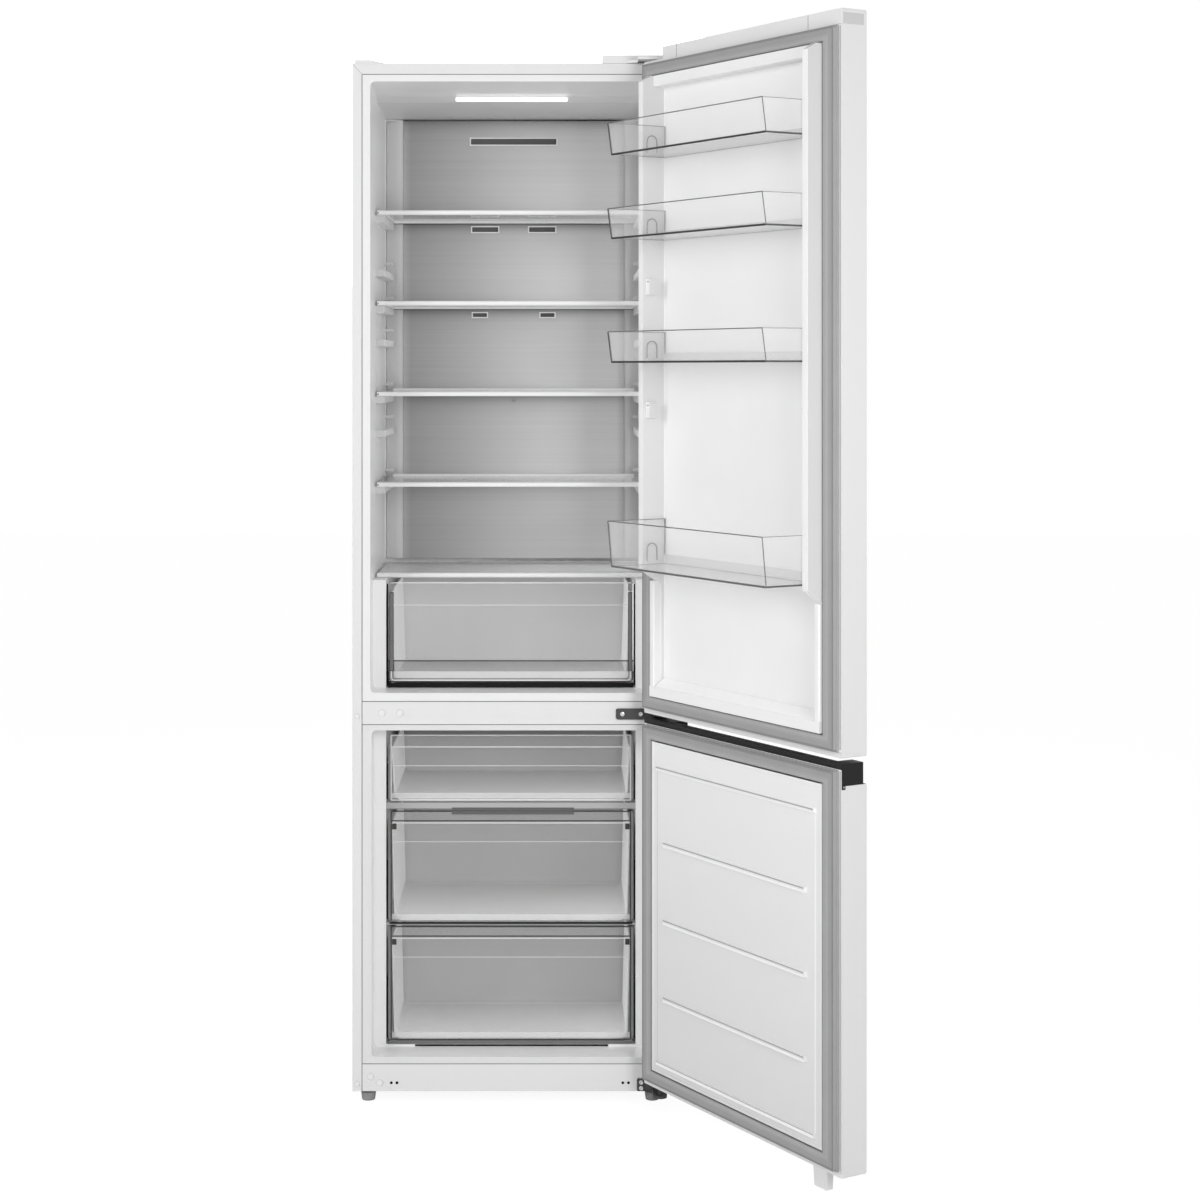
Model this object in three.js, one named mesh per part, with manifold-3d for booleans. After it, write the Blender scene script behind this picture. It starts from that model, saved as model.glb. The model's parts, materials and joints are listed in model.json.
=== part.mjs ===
// A tall two-door refrigerator: fresh-food compartment above, freezer with three drawers below.
// Millimetres. +Z up, the front faces -Y, the doors hang on the right (+X) and stand open.

import * as THREE from 'three';
import { mergeVertices } from 'three/addons/utils/BufferGeometryUtils.js';
import Module from 'manifold-3d';

const wasm = await Module();
wasm.setup();

// ---------------------------------------------------------------- driving sizes

// casing; y = 0 is its front plane, z = 0 the floor, x = 0 its middle
const casingWidth = 600;
const casingDepth = 535;
const casingTop = 1976;
const underGap = 22; // floor to the casing's lower edge
const sheet = 1; // painted steel sheet
const flangeSide = 18.5; // steel returned on the front, left and right
const flangeTop = 20.5; // steel returned on the front, above
const seam = 0.3; // between pieces that touch
const linerWall = 2.5;
const mouthRadius = 10;

// walls between the casing and the two compartments
const sideInsulation = 34; // casing to fresh-food space, left and right
const freezerInsulation = 36.5;
const roofInsulation = 34;
const rearInsulation = 70; // behind the freezer
const fridgeRearInsulation = 110; // behind the fresh-food space, with the air duct's room

// rails across the front, and the liners' lips next to them
const barBottom = 719;
const barTop = 763;
const railTop = 74;
const railReturn = 14;
const fridgeSill = 16;
const freezerHead = 11;
const freezerSill = 12.5;

// fresh-food compartment
const lampFront = 150; // where the ceiling steps down to hold the lamp
const lampRear = 166;
const lampFrontDrop = 10;
const lampRearDrop = 21;
const ceilingRearDrop = 31;
const lampHalf = 110;
const lampInset = 4.5; // from the step's edges to the lens
const lampBevel = 1.5;
const lampProud = 2.5;

// freezer compartment
const panelInset = 59; // casing to the side panels that the drawers run in
const panelFront = 70; // from the front plane to those panels
const mouthStep = 4; // drawer space above the lower lip of the freezer's mouth

// machine compartment, behind and below the freezer
const bayDepth = 160;
const bayTop = 250;
const bayInsulation = 36;

// shelves
const shelfPitch = 177;
const shelfCount = 4;
const crisperSpace = 218; // from the compartment's floor to the top of the shelf over the drawer
const spareRises = [71, 111, 110]; // empty levels, above the second, third and fourth shelf
const shelfPlay = 4; // from the side walls to a shelf's front trim
const shelfRearPlay = 10;
const shelfFront = 114;
const shelfToPanel = 2.3;
const trimDepth = 12;
const trimHeight = 9;
const trimCorner = 3;
const glassThickness = 4;
const glassInset = 2;
const ribReach = 18; // how far the side walls' shelf ribs stand out
const ribHeight = 13;
const ribFront = 122;
const ribShort = 2; // the ribs end before the shelves' rear edges
const stopGap = 10; // over a shelf's rear edge, to the stop that keeps it from tipping
const stopHeight = 6;
const stopLength = 22;

// air duct and its metal front
const metalMargin = 37; // from the side walls to the metal front
const ductDepth = 36.7; // from the metal front to the compartment's rear
const metalSheet = 1.8;
const metalRise = 6; // above the shelf over the drawer
const metalDrop = 2; // below the ceiling
const ductBevel = 16;
const ductShoulder = 8;
const ductFoot = 12;

// drawers
const drawerWall = 2.5;
const drawerSide = 4; // running clearance to the panels
const drawerFront = 73;
const crisperDrop = 14; // below the top of its shelf
const crisperLift = 10; // above the compartment's floor
const crisperRearGap = 45;
const drawerHead = 20; // from the freezer's ceiling to the upper drawer
const upperDrawerHeight = 127.5;
const middleDrawerHeight = 213;
const upperGap = 19.5; // between the upper and the middle drawer
const lowerGap = 10;
const drawerLift = 11.5; // lowest drawer above the freezer's lip
const coverRoom = 77; // from the drawers' rear to the freezer's rear wall
const lowerDrawerGap = 13; // from the lowest drawer to the step over the machine compartment

// doors, drawn closed
const doorGap = 12; // front plane to the doors' inner face
const doorThickness = 53;
const doorInset = 1; // narrower than the casing, each side
const doorSplit = 9; // between the two doors
const doorRise = 19; // fridge door above the casing
const freezerDoorBottom = 50;
const freezerDoorRise = 20; // above the crossbar's lower edge
const doorEdge = 2.5; // radius of the outer skins' upright edges
const doorLinerWall = 2;
const linerFoot = 9; // from a door's lower end to its liner
const fridgeLinerHead = 26.5;
const freezerLinerHead = 10.5;
const gasketInset = 8;
const gasketWidth = 33;
const gasketRise = 27;
const gasketReach = 11;
const gasketBase = 5; // thickness of its base strip
const gasketBead = 2; // the bead is narrower by this much, each side
const gasketMargin = 0.7;
const gasketPlay = 0.5; // between the seal and the raised forms inside it
const gasketCorner = 4;
const gasketHoleCorner = 1;
const dykeWidth = 15;
const dykeReach = 40;
const dykeBottom = 1024;
const dykeDrop = 28; // the dykes' lower ends slant back by this much
const dykeChamfer = 12; // clears the sloping ceiling when the door is shut: drop at its tip
const dykeSlope = 18; // and the depth that the slope takes
const panelSink = 8;
const capInner = 12; // how far the end caps reach into the insulation
const openAngle = 121; // as photographed, degrees
const hingeInset = 16.5; // casing's side to the hinge axis
const hingeY = -38;
const pinRadius = 4;
const pinPlay = 0.5;
const pinBite = 12; // how far a pin reaches into an end cap
const notchWidth = 62;
const notchDrop = 3; // floor of the top hinge's notch, below the casing's top

// door baskets: floor and rim, below the door's top; the lowest one above the dykes' ends
const basketDrops = [[207, 148], [361, 305], [588, 531]];
const lowBasketRises = [8, 93];
const basketPlay = 3.5; // between a basket and the dykes
const basketFront = 108;
const basketWall = 2;
const basketRake = 8; // how far the front leans out
const basketRearHeight = 18;
const pegFront = 21; // the pegs that the baskets hang on, from the front plane
const pegRear = 1;
const pegRise = 3; // from a basket's floor up to its pegs
const pegHeight = 30;
const hookHeight = 6;
const sparePegDrops = [462, 691]; // below the door's top

// what the casing stands on
const footInset = 29; // casing's side to a foot's middle
const footY = 24;
const footRadius = 14.5;
const footTaper = 2;
const footCup = 16;
const stemReach = 12; // foot's stem above the floor pan
const rollerInset = 38;
const rollerRearInset = 37;
const rollerRadius = 15;
const rollerWidth = 14;
const axleRadius = 3;

// ---------------------------------------------------------------- derived places

const half = casingWidth / 2;
const fridgeHalf = half - sideInsulation;
const fridgeBottom = barTop + fridgeSill;
const fridgeTop = casingTop - roofInsulation;
const fridgeRear = casingDepth - fridgeRearInsulation;
const freezerHalf = half - freezerInsulation; // at its mouth
const freezerBottom = railTop + freezerSill;
const freezerTop = barBottom - freezerHead;
const freezerRear = casingDepth - rearInsulation;
const drawerHalf = half - panelInset;
const crisperShelfTop = fridgeBottom + crisperSpace;
const shelfTops = Array.from({ length: shelfCount }, (_, i) => (
  crisperShelfTop + shelfPitch * (shelfCount - i)));
const spareShelfTops = spareRises.map((rise, i) => shelfTops[i + 1] + rise);
const metalHalf = fridgeHalf - metalMargin;
const metalFront = fridgeRear - ductDepth;
const metalBottom = crisperShelfTop + metalRise;
const shelfHalf = fridgeHalf - shelfPlay;
const shelfRearHalf = fridgeHalf - shelfRearPlay;
const shelfRear = metalFront - shelfToPanel;
const ribRear = shelfRear - ribShort;
const stopFront = ribRear - stopLength;
const crisperRear = fridgeRear - crisperRearGap;
const crisperTop = crisperShelfTop - crisperDrop;
const crisperBottom = fridgeBottom + crisperLift;
const drawerRear = freezerRear - coverRoom;
const doorHalf = half - doorInset;
const fridgeDoorTop = casingTop + doorRise;
const freezerDoorTop = barBottom + freezerDoorRise;
const fridgeDoorBottom = freezerDoorTop + doorSplit;
const notchFloor = casingTop - notchDrop;
const hingeX = half - hingeInset;
const footX = half - footInset;
const rollerX = half - rollerInset;
const rollerY = casingDepth - rollerRearInset;
const doorIn = -doorGap;
const doorOut = -doorGap - doorThickness;
const bayFront = casingDepth - bayDepth;
const lowerDrawerRear = bayFront - bayInsulation - lowerDrawerGap;
const drawerHalfOuter = drawerHalf - drawerSide;
const upperDrawer = { top: freezerTop - drawerHead, bottom: freezerTop - drawerHead - upperDrawerHeight };
const middleTop = upperDrawer.bottom - upperGap;
const middleDrawer = { top: middleTop, bottom: middleTop - middleDrawerHeight };
const lowerDrawer = { top: middleDrawer.bottom - lowerGap, bottom: freezerBottom + drawerLift };
const basketHeights = [
  ...basketDrops.map(([floor, rim]) => [fridgeDoorTop - floor, fridgeDoorTop - rim]),
  lowBasketRises.map((rise) => dykeBottom + rise),
];
const sparePegs = sparePegDrops.map((drop) => fridgeDoorTop - drop);
const metalTop = fridgeTop - ceilingRearDrop - metalDrop;
const frameOuter = half - flangeSide - seam;
const linerTopEdge = casingTop - flangeTop - seam;

// ---------------------------------------------------------------- shape helpers

function solid(geometry) {
  const bare = geometry.clone();
  bare.deleteAttribute('normal');
  bare.deleteAttribute('uv');
  const merged = mergeVertices(bare, 1e-4);
  return new wasm.Manifold(new wasm.Mesh({
    numProp: 3,
    vertProperties: Float32Array.from(merged.attributes.position.array),
    triVerts: Uint32Array.from(merged.index.array),
  }));
}

function surface(body) {
  const mesh = body.getMesh();
  const geometry = new THREE.BufferGeometry();
  geometry.setAttribute('position', new THREE.BufferAttribute(mesh.vertProperties, 3));
  geometry.setIndex(new THREE.BufferAttribute(mesh.triVerts, 1));
  geometry.computeVertexNormals();
  return geometry;
}

function join(...bodies) {
  return bodies.reduce((whole, body) => whole.add(body));
}

function cut(body, ...tools) {
  return tools.reduce((left, tool) => left.subtract(tool), body);
}

function block(x0, x1, y0, y1, z0, z1) {
  const geometry = new THREE.BoxGeometry(x1 - x0, y1 - y0, z1 - z0);
  return solid(geometry.translate((x0 + x1) / 2, (y0 + y1) / 2, (z0 + z1) / 2));
}

// a block that is symmetric about the middle of the casing
function wide(halfWidth, y0, y1, z0, z1) {
  return block(-halfWidth, halfWidth, y0, y1, z0, z1);
}

// the same block on the left and on the right
function pair(x0, x1, y0, y1, z0, z1) {
  return join(block(x0, x1, y0, y1, z0, z1), block(-x1, -x0, y0, y1, z0, z1));
}

function outline(points) {
  return new THREE.Shape(points.map(([u, v]) => new THREE.Vector2(u, v)));
}

function roundedOutline(u0, u1, v0, v1, radius) {
  const shape = new THREE.Shape();
  shape.absarc(u0 + radius, v0 + radius, radius, Math.PI, 1.5 * Math.PI);
  shape.absarc(u1 - radius, v0 + radius, radius, 1.5 * Math.PI, 2 * Math.PI);
  shape.absarc(u1 - radius, v1 - radius, radius, 0, 0.5 * Math.PI);
  shape.absarc(u0 + radius, v1 - radius, radius, 0.5 * Math.PI, Math.PI);
  return shape;
}

function extruded(shape, depth, steps = 3) {
  return new THREE.ExtrudeGeometry(shape, { depth, bevelEnabled: false, curveSegments: steps });
}

// an outline in x and z, run from y0 to y1
function alongY(shape, y0, y1, steps) {
  return solid(extruded(shape, y1 - y0, steps).rotateX(Math.PI / 2).translate(0, y1, 0));
}

// an outline in x and y, run from z0 to z1
function alongZ(shape, z0, z1, steps) {
  return solid(extruded(shape, z1 - z0, steps).translate(0, 0, z0));
}

// an outline in y and z, run from x0 to x1
function alongX(shape, x0, x1, steps) {
  const turn = new THREE.Matrix4().makeBasis(
    new THREE.Vector3(0, 1, 0), new THREE.Vector3(0, 0, 1), new THREE.Vector3(1, 0, 0));
  return solid(extruded(shape, x1 - x0, steps).applyMatrix4(turn).translate(x0, 0, 0));
}

function post(x, y, z0, z1, radius, sides = 12, topRadius = radius) {
  const geometry = new THREE.CylinderGeometry(topRadius, radius, z1 - z0, sides);
  return solid(geometry.rotateX(Math.PI / 2).translate(x, y, (z0 + z1) / 2));
}

function rodAlongX(x0, x1, y, z, radius, sides = 12) {
  const geometry = new THREE.CylinderGeometry(radius, radius, x1 - x0, sides);
  return solid(geometry.rotateZ(Math.PI / 2).translate((x0 + x1) / 2, y, z));
}

function rodAlongY(x, y0, y1, z, radius, sides = 12) {
  const geometry = new THREE.CylinderGeometry(radius, radius, y1 - y0, sides);
  return solid(geometry.translate(x, (y0 + y1) / 2, z));
}

// ---------------------------------------------------------------- finishes

const finish = (color, roughness, metalness = 0, opacity = 1) => () => new THREE.MeshStandardMaterial({
  color, roughness, metalness, opacity, transparent: opacity < 1,
});

const whitePaint = finish(0xe9e9e8, 0.35, 0.1);
const whitePlastic = finish(0xeeeeed, 0.45);
const galvanised = finish(0xb9bcbd, 0.5, 0.9);
const brushedMetal = finish(0xa9aaab, 0.35, 0.9);
const darkMetal = finish(0x45474a, 0.5, 0.6);
const blackPlastic = finish(0x2b2c2e, 0.45);
const greyRubber = finish(0x9d9ea0, 0.8);
const feetPlastic = finish(0x55585c, 0.6);
const clearPlastic = finish(0xdfe3e4, 0.12, 0, 0.35);
const glass = finish(0xd5dcda, 0.05, 0, 0.3);
const foam = finish(0xe3d9a8, 0.95);
const lampLens = finish(0xffffff, 0.3);
const aluminium = finish(0xc9cbcc, 0.45, 0.9);
const copper = finish(0x8f5a3c, 0.4, 0.9);
const enamelBlack = finish(0x1f2022, 0.4, 0.4);

const refrigerator = new THREE.Group();

function place(name, shape, material, parent = refrigerator) {
  const mesh = new THREE.Mesh(shape instanceof wasm.Manifold ? surface(shape) : shape, material());
  mesh.name = name;
  parent.add(mesh);
  return mesh;
}

// ---------------------------------------------------------------- compartments

const mouthSlack = 1; // how far a cutting shape passes a face
const frontStart = -mouthSlack;

// the fresh-food space, grown by a wall all round except at its mouth
function fridgeSpace(grow, front) {
  const rear = fridgeRear + grow;
  const ledge = crisperShelfTop - trimHeight - seam;
  const ceiling = [
    [front, ledge - grow],
    [rear, ledge - grow],
    [rear, fridgeTop - ceilingRearDrop + grow],
    [lampRear, fridgeTop - lampRearDrop + grow],
    [lampFront, fridgeTop - lampFrontDrop + grow],
    [front, fridgeTop + grow],
  ];
  const half0 = fridgeHalf + grow;
  const upper = alongX(outline(ceiling), -half0, half0);
  const mouth = wide(half0, front, panelFront + grow, fridgeBottom - grow, ledge + mouthSlack);
  const lower = wide(drawerHalf + grow, panelFront - mouthSlack, rear,
    fridgeBottom - grow, ledge + mouthSlack);
  const round = roundedOutline(-half0, half0, fridgeBottom - grow, fridgeTop + grow, mouthRadius + grow);
  return join(upper, mouth, lower).intersect(alongY(round, front, rear + mouthSlack));
}

function freezerSpace(grow, front) {
  const round = roundedOutline(-freezerHalf - grow, freezerHalf + grow,
    freezerBottom - grow, freezerTop + grow, mouthRadius + grow);
  const mouth = alongY(round, front, panelFront + grow);
  const stepY = bayFront - bayInsulation;
  const low = freezerBottom + mouthStep - grow;
  const high = freezerTop - mouthStep + grow;
  const step = bayTop + bayInsulation - grow;
  const inner = [
    [panelFront - mouthSlack, low],
    [stepY + grow, low],
    [stepY + grow, step],
    [freezerRear + grow, step],
    [freezerRear + grow, high],
    [panelFront - mouthSlack, high],
  ];
  return join(mouth, alongX(outline(inner), -drawerHalf - grow, drawerHalf + grow));
}

function frame(z0, z1) {
  return wide(frameOuter, seam, linerWall + seam, z0, z1);
}

// at each level a shelf can take, the side walls have a rib below it and a stop above its rear edge
function shelfRibs() {
  const inner = fridgeHalf - ribReach;
  const outer = fridgeHalf + mouthSlack;
  return join(...[...shelfTops, ...spareShelfTops].flatMap((top) => {
    const rib = top - trimHeight - seam;
    const stop = top + stopGap;
    return [
      pair(inner, outer, ribFront, ribRear, rib - ribHeight, rib),
      pair(inner, outer, stopFront, ribRear, stop, stop + stopHeight),
    ];
  }));
}

// two rails on the floor of a drawer space, from just under the drawer
const runnerInset = 19; // from the side panels
const runnerWidth = 10;
function runners(z0, z1, y1) {
  const x0 = drawerHalf - runnerInset;
  return pair(x0, x0 + runnerWidth, drawerFront + seam, y1, z0, z1);
}

const fridgeLiner = cut(
  join(fridgeSpace(linerWall, seam), frame(barTop + seam, linerTopEdge)),
  fridgeSpace(0, frontStart));
place('fridge_liner', join(fridgeLiner, shelfRibs(),
  runners(fridgeBottom - mouthSlack, crisperBottom - seam, crisperRear)), whitePlastic);

const freezerFloor = freezerBottom + mouthStep;
const freezerLiner = cut(
  join(freezerSpace(linerWall, seam), frame(railTop + seam, barBottom - seam)),
  freezerSpace(0, frontStart));

// each freezer drawer above the lowest one runs on a glass partition that rests on side ledges
const partitionThickness = 5;
const partitionInset = 3; // behind the drawers' fronts
const partitionOverhang = 4; // behind the drawers' rears
const partitionLip = 9; // depth of the trim under its front edge
const lipClearance = 2; // between that trim and the drawer below
const ledgeReach = 9;
const ledgeThickness = 2;
const partitions = [
  { name: 'freezer_partition_upper', top: upperDrawer.bottom - seam, below: middleDrawer.top },
  { name: 'freezer_partition_lower', top: middleDrawer.bottom - seam, below: lowerDrawer.top },
];
function ledge(partition) {
  const z1 = partition.top - partitionThickness - seam;
  return pair(drawerHalf - ledgeReach, drawerHalf + mouthSlack,
    drawerFront + partitionInset + partitionLip + seam, drawerRear, z1 - ledgeThickness, z1);
}
place('freezer_liner', join(freezerLiner, ...partitions.map(ledge),
  runners(freezerFloor - mouthSlack, lowerDrawer.bottom - seam, lowerDrawerRear)), whitePlastic);

for (const { name, top, below } of partitions) {
  const front = drawerFront + partitionInset;
  const under = top - partitionThickness;
  place(name, join(
    wide(drawerHalf - seam, front, drawerRear + partitionOverhang, under, top),
    wide(drawerHalf - seam, front, front + partitionLip, below + lipClearance, under + seam)), glass);
}

// ---------------------------------------------------------------- casing

const shellOuter = wide(half, 0, casingDepth, underGap, casingTop);
const shellHollow = wide(half - sheet, sheet, casingDepth + mouthSlack,
  underGap - mouthSlack, casingTop - sheet);
const shellMouth = wide(half - flangeSide, frontStart, sheet + mouthSlack,
  underGap - mouthSlack, casingTop - flangeTop);
place('cabinet_shell', cut(shellOuter, shellHollow, shellMouth), whitePaint);

function frontChannel(z0, z1) {
  const outer = wide(half - flangeSide - seam, 0, railReturn, z0, z1);
  const hollow = wide(half, sheet, railReturn + mouthSlack, z0 + sheet, z1 - sheet);
  return cut(outer, hollow);
}
place('crossbar', frontChannel(barBottom, barTop), whitePaint);
place('base_rail', frontChannel(underGap, railTop), whitePaint);

// floor pan: carries the rollers and the compressor, and its rear forms the machine compartment
const panInset = sheet + seam;
const panSheet = 2;
const panZ0 = underGap + sheet + seam;
const panZ1 = panZ0 + panSheet;
const panFront = 4;
const panRear = casingDepth;
const compressor = {
  x: 118, y: casingDepth - 82, radius: 68, height: 165, footSpan: 92, footInset: 14, footHalf: 11,
  footReach: 12, footSheet: 3, cradleHalf: 30, cradleHeight: 8, cradleInset: 4,
};
const relay = { reach: 14, bite: 12, half: 24, low: 40, high: 96 };
const grommetHeight = 10;
const grommetRadius = 10;
const compressorFeet = [-1, 1].flatMap((sx) => [-1, 1].map((sy) => ({
  x: compressor.x + sx * compressor.footSpan,
  y: compressor.y + sy * (compressor.radius - compressor.footInset),
})));
const rollerSlot = 2; // clearance of a roller in its slot
const earThickness = 2.5;
const earDrop = 10;
const earShort = 3; // shorter than the roller, each end

function rollerFork(x) {
  const ears = [-1, 1].map((side) => {
    const inner = x + side * (rollerWidth / 2 + rollerSlot);
    const outer = inner + side * earThickness;
    return block(Math.min(inner, outer), Math.max(inner, outer),
      rollerY - rollerRadius + earShort, rollerY + rollerRadius - earShort,
      rollerRadius - earDrop, panZ0 + sheet);
  });
  const reach = rollerWidth / 2 + rollerSlot + earThickness / 2;
  return join(...ears, rodAlongX(x - reach, x + reach, rollerY, rollerRadius, axleRadius));
}

function rollerOpening(x) {
  const reach = rollerWidth / 2 + rollerSlot;
  return block(x - reach, x + reach, rollerY - rollerRadius - rollerSlot,
    rollerY + rollerRadius + rollerSlot, panZ0 - mouthSlack, panZ1 + mouthSlack);
}

const stemRadius = 5;
const stemRoom = 2; // insulation kept clear of a foot's stem
const pan = join(
  wide(half - panInset, panFront, panRear, panZ0, panZ1),
  wide(half - panInset, bayFront, bayFront + panSheet, panZ1 - mouthSlack, bayTop),
  wide(half - panInset, bayFront, panRear, bayTop - panSheet, bayTop));
const panCut = cut(pan, rollerOpening(-rollerX), rollerOpening(rollerX),
  post(-footX, footY, panZ0 - mouthSlack, panZ1 + mouthSlack, stemRadius + pinPlay),
  post(footX, footY, panZ0 - mouthSlack, panZ1 + mouthSlack, stemRadius + pinPlay));
const grommets = compressorFeet.map((foot) => (
  post(foot.x, foot.y, panZ1 - sheet, panZ1 + grommetHeight, grommetRadius)));
place('base_pan', join(panCut, rollerFork(-rollerX), rollerFork(rollerX), ...grommets), galvanised);

// rear sheet with raised stiffening ribs, and the slotted cover of the machine compartment
const rearY = casingDepth + seam;
const ribProud = 1.5;
const rearRibPitch = 110;
const rearRibHalf = 9;
const rearRibFoot = 90; // above the machine compartment's cover
const rearRibHead = 130; // below the casing's top
const rearRibs = [-2, -1, 0, 1, 2].map((i) => (
  block(i * rearRibPitch - rearRibHalf, i * rearRibPitch + rearRibHalf, rearY + sheet / 2,
    rearY + sheet + ribProud, bayTop + rearRibFoot, casingTop - rearRibHead)));
place('rear_panel', join(wide(half - sheet, rearY, rearY + sheet, bayTop + seam, casingTop - sheet),
  ...rearRibs), galvanised);

const coverSheet = 2;
const coverGap = 30; // air gap left under the cover
const slotCount = 11;
const slotPitch = 21;
const slotWidth = 6;
const slotMiddle = -140;
const slotRows = [[70, 110], [120, 160]];
const coverSlots = slotRows.flatMap(([z0, z1]) => (
  Array.from({ length: slotCount }, (_, i) => {
    const x = slotMiddle + (i - (slotCount - 1) / 2) * slotPitch;
    return block(x - slotWidth / 2, x + slotWidth / 2,
      rearY - mouthSlack, rearY + coverSheet + mouthSlack, z0, z1);
  })));
const inlet = {
  x: 205, z: 150, width: 48, height: 30, proud: 5, depth: 18,
  sideWall: 8, wall: 5, corner: 4, window: 4, pinPitch: 7, pinHalf: 1, pinHalfHeight: 2, pinSunk: 4,
};

// mains inlet: a socket moulded into the cover
function mainsInlet() {
  const x0 = inlet.x - inlet.width / 2;
  const x1 = inlet.x + inlet.width / 2;
  const z0 = inlet.z - inlet.height / 2;
  const z1 = inlet.z + inlet.height / 2;
  const y1 = rearY + inlet.proud;
  const body = block(x0, x1, rearY - inlet.depth, y1, z0, z1);
  const well = alongY(roundedOutline(x0 + inlet.sideWall, x1 - inlet.sideWall,
    z0 + inlet.wall, z1 - inlet.wall, inlet.corner), y1 - inlet.depth, y1 + mouthSlack);
  const pins = [-1, 0, 1].map((i) => {
    const x = inlet.x + i * inlet.pinPitch;
    return block(x - inlet.pinHalf, x + inlet.pinHalf, y1 - inlet.depth - mouthSlack, y1 - inlet.pinSunk,
      inlet.z - inlet.pinHalfHeight, inlet.z + inlet.pinHalfHeight);
  });
  return join(cut(body, well), ...pins);
}
function inletWindow() {
  const across = inlet.width / 2 - inlet.window;
  const up = inlet.height / 2 - inlet.window;
  return block(inlet.x - across, inlet.x + across, rearY - mouthSlack, rearY + coverSheet + mouthSlack,
    inlet.z - up, inlet.z + up);
}
place('machine_bay_cover', join(
  cut(wide(half - sheet - seam, rearY, rearY + coverSheet, panZ1 + coverGap, bayTop - seam),
    ...coverSlots, inletWindow()), mainsInlet()), blackPlastic);

// insulation: fills the space between the sheet casing and the two liners
const foamEdge = sheet + seam;
const foamFront = linerWall + 2 * seam;
const foamBlock = wide(half - foamEdge, foamFront, casingDepth - seam, panZ1 + seam, casingTop - foamEdge);
const foamTools = [
  fridgeSpace(linerWall + seam, frontStart),
  freezerSpace(linerWall + seam, frontStart),
  wide(half, bayFront - seam, casingDepth + mouthSlack, panZ0, bayTop + seam),
  wide(half, frontStart, railReturn + seam, barBottom - seam, barTop + seam),
  wide(half, frontStart, railReturn + seam, panZ0, railTop + seam),
  ...[-footX, footX].map((x) => post(x, footY, panZ0, railTop, stemRadius + stemRoom)),
];
place('cabinet_foam', cut(foamBlock, ...foamTools), foam);

// ---------------------------------------------------------------- cooling machinery

// half outline of the shell: share of the radius, and height above the feet
const shellCurve = [
  [0, 4], [0.62, 4], [0.9, 20], [1, 48], [1, 88], [0.93, 120], [0.7, 147], [0.36, 161], [0, 165],
];
function compressorBody() {
  const { x, y, radius, height, footSpan, footInset: inset, footHalf, footReach } = compressor;
  const z0 = panZ1 + grommetHeight + seam;
  const scale = height / shellCurve.at(-1)[1];
  const profile = shellCurve.map(([r, z]) => new THREE.Vector2(r * radius, z0 + z * scale));
  const dome = solid(new THREE.LatheGeometry(profile, 24).rotateX(Math.PI / 2).translate(x, y, 0));
  const foot = [-1, 1].map((side) => {
    const lowY = y + side * (radius - inset);
    const reach = footSpan + footReach;
    return block(x - reach, x + reach, lowY - footHalf, lowY + footHalf, z0, z0 + compressor.footSheet);
  });
  const cradleY = radius - compressor.cradleInset;
  const cradle = block(x - compressor.cradleHalf, x + compressor.cradleHalf, y - cradleY, y + cradleY,
    z0, z0 + compressor.cradleHeight);
  const relayBox = block(x - radius - relay.reach, x - radius + relay.bite, y - relay.half, y + relay.half,
    z0 + relay.low, z0 + relay.high);
  return join(dome, cradle, ...foot, relayBox);
}
place('compressor', compressorBody(), enamelBlack);

// condenser: one tube folded to and fro, standing on a saddle on the floor pan
const condenser = {
  left: -240, right: -20, runs: 6, pitch: 26, radius: 3.5, y: bayFront + 70, lift: 18, bend: 18.3,
  legHalf: 1.5, legHalfDepth: 9, legRise: 8, legPlaces: [0.2, 0.8],
};
function condenserPath() {
  const points = [];
  const { left, right, runs, pitch, lift, bend } = condenser;
  const z0 = panZ1 + grommetHeight + lift;
  for (let run = 0; run < runs; run += 1) {
    const z = z0 + run * pitch;
    const ends = run % 2 === 0 ? [left, right] : [right, left];
    const inset = Math.sign(ends[1] - ends[0]) * bend;
    const below = run > 0 ? pitch * 0.3 : 0;
    const above = run < runs - 1 ? pitch * 0.3 : 0;
    points.push([ends[0] + inset * 0.4, z - below], [ends[0] + inset, z]);
    points.push([(ends[0] + ends[1]) / 2, z]);
    points.push([ends[1] - inset, z], [ends[1] - inset * 0.4, z + above]);
  }
  return new THREE.CatmullRomCurve3(points.map(([x, z]) => new THREE.Vector3(x, condenser.y, z)));
}
function condenserBody() {
  const ring = new THREE.Shape();
  ring.absarc(0, 0, condenser.radius, 0, 2 * Math.PI);
  const tube = new THREE.ExtrudeGeometry(ring, {
    steps: condenser.runs * 10, curveSegments: 3, bevelEnabled: false, extrudePath: condenserPath(),
  });
  const top = panZ1 + grommetHeight + condenser.lift + (condenser.runs - 1) * condenser.pitch;
  const legs = condenser.legPlaces.map((t) => {
    const x = condenser.left + (condenser.right - condenser.left) * t;
    return block(x - condenser.legHalf, x + condenser.legHalf, condenser.y - condenser.legHalfDepth,
      condenser.y + condenser.legHalfDepth, panZ1 + seam, top + condenser.legRise);
  });
  return join(solid(tube), ...legs);
}
place('condenser_coil', condenserBody(), copper);

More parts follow.
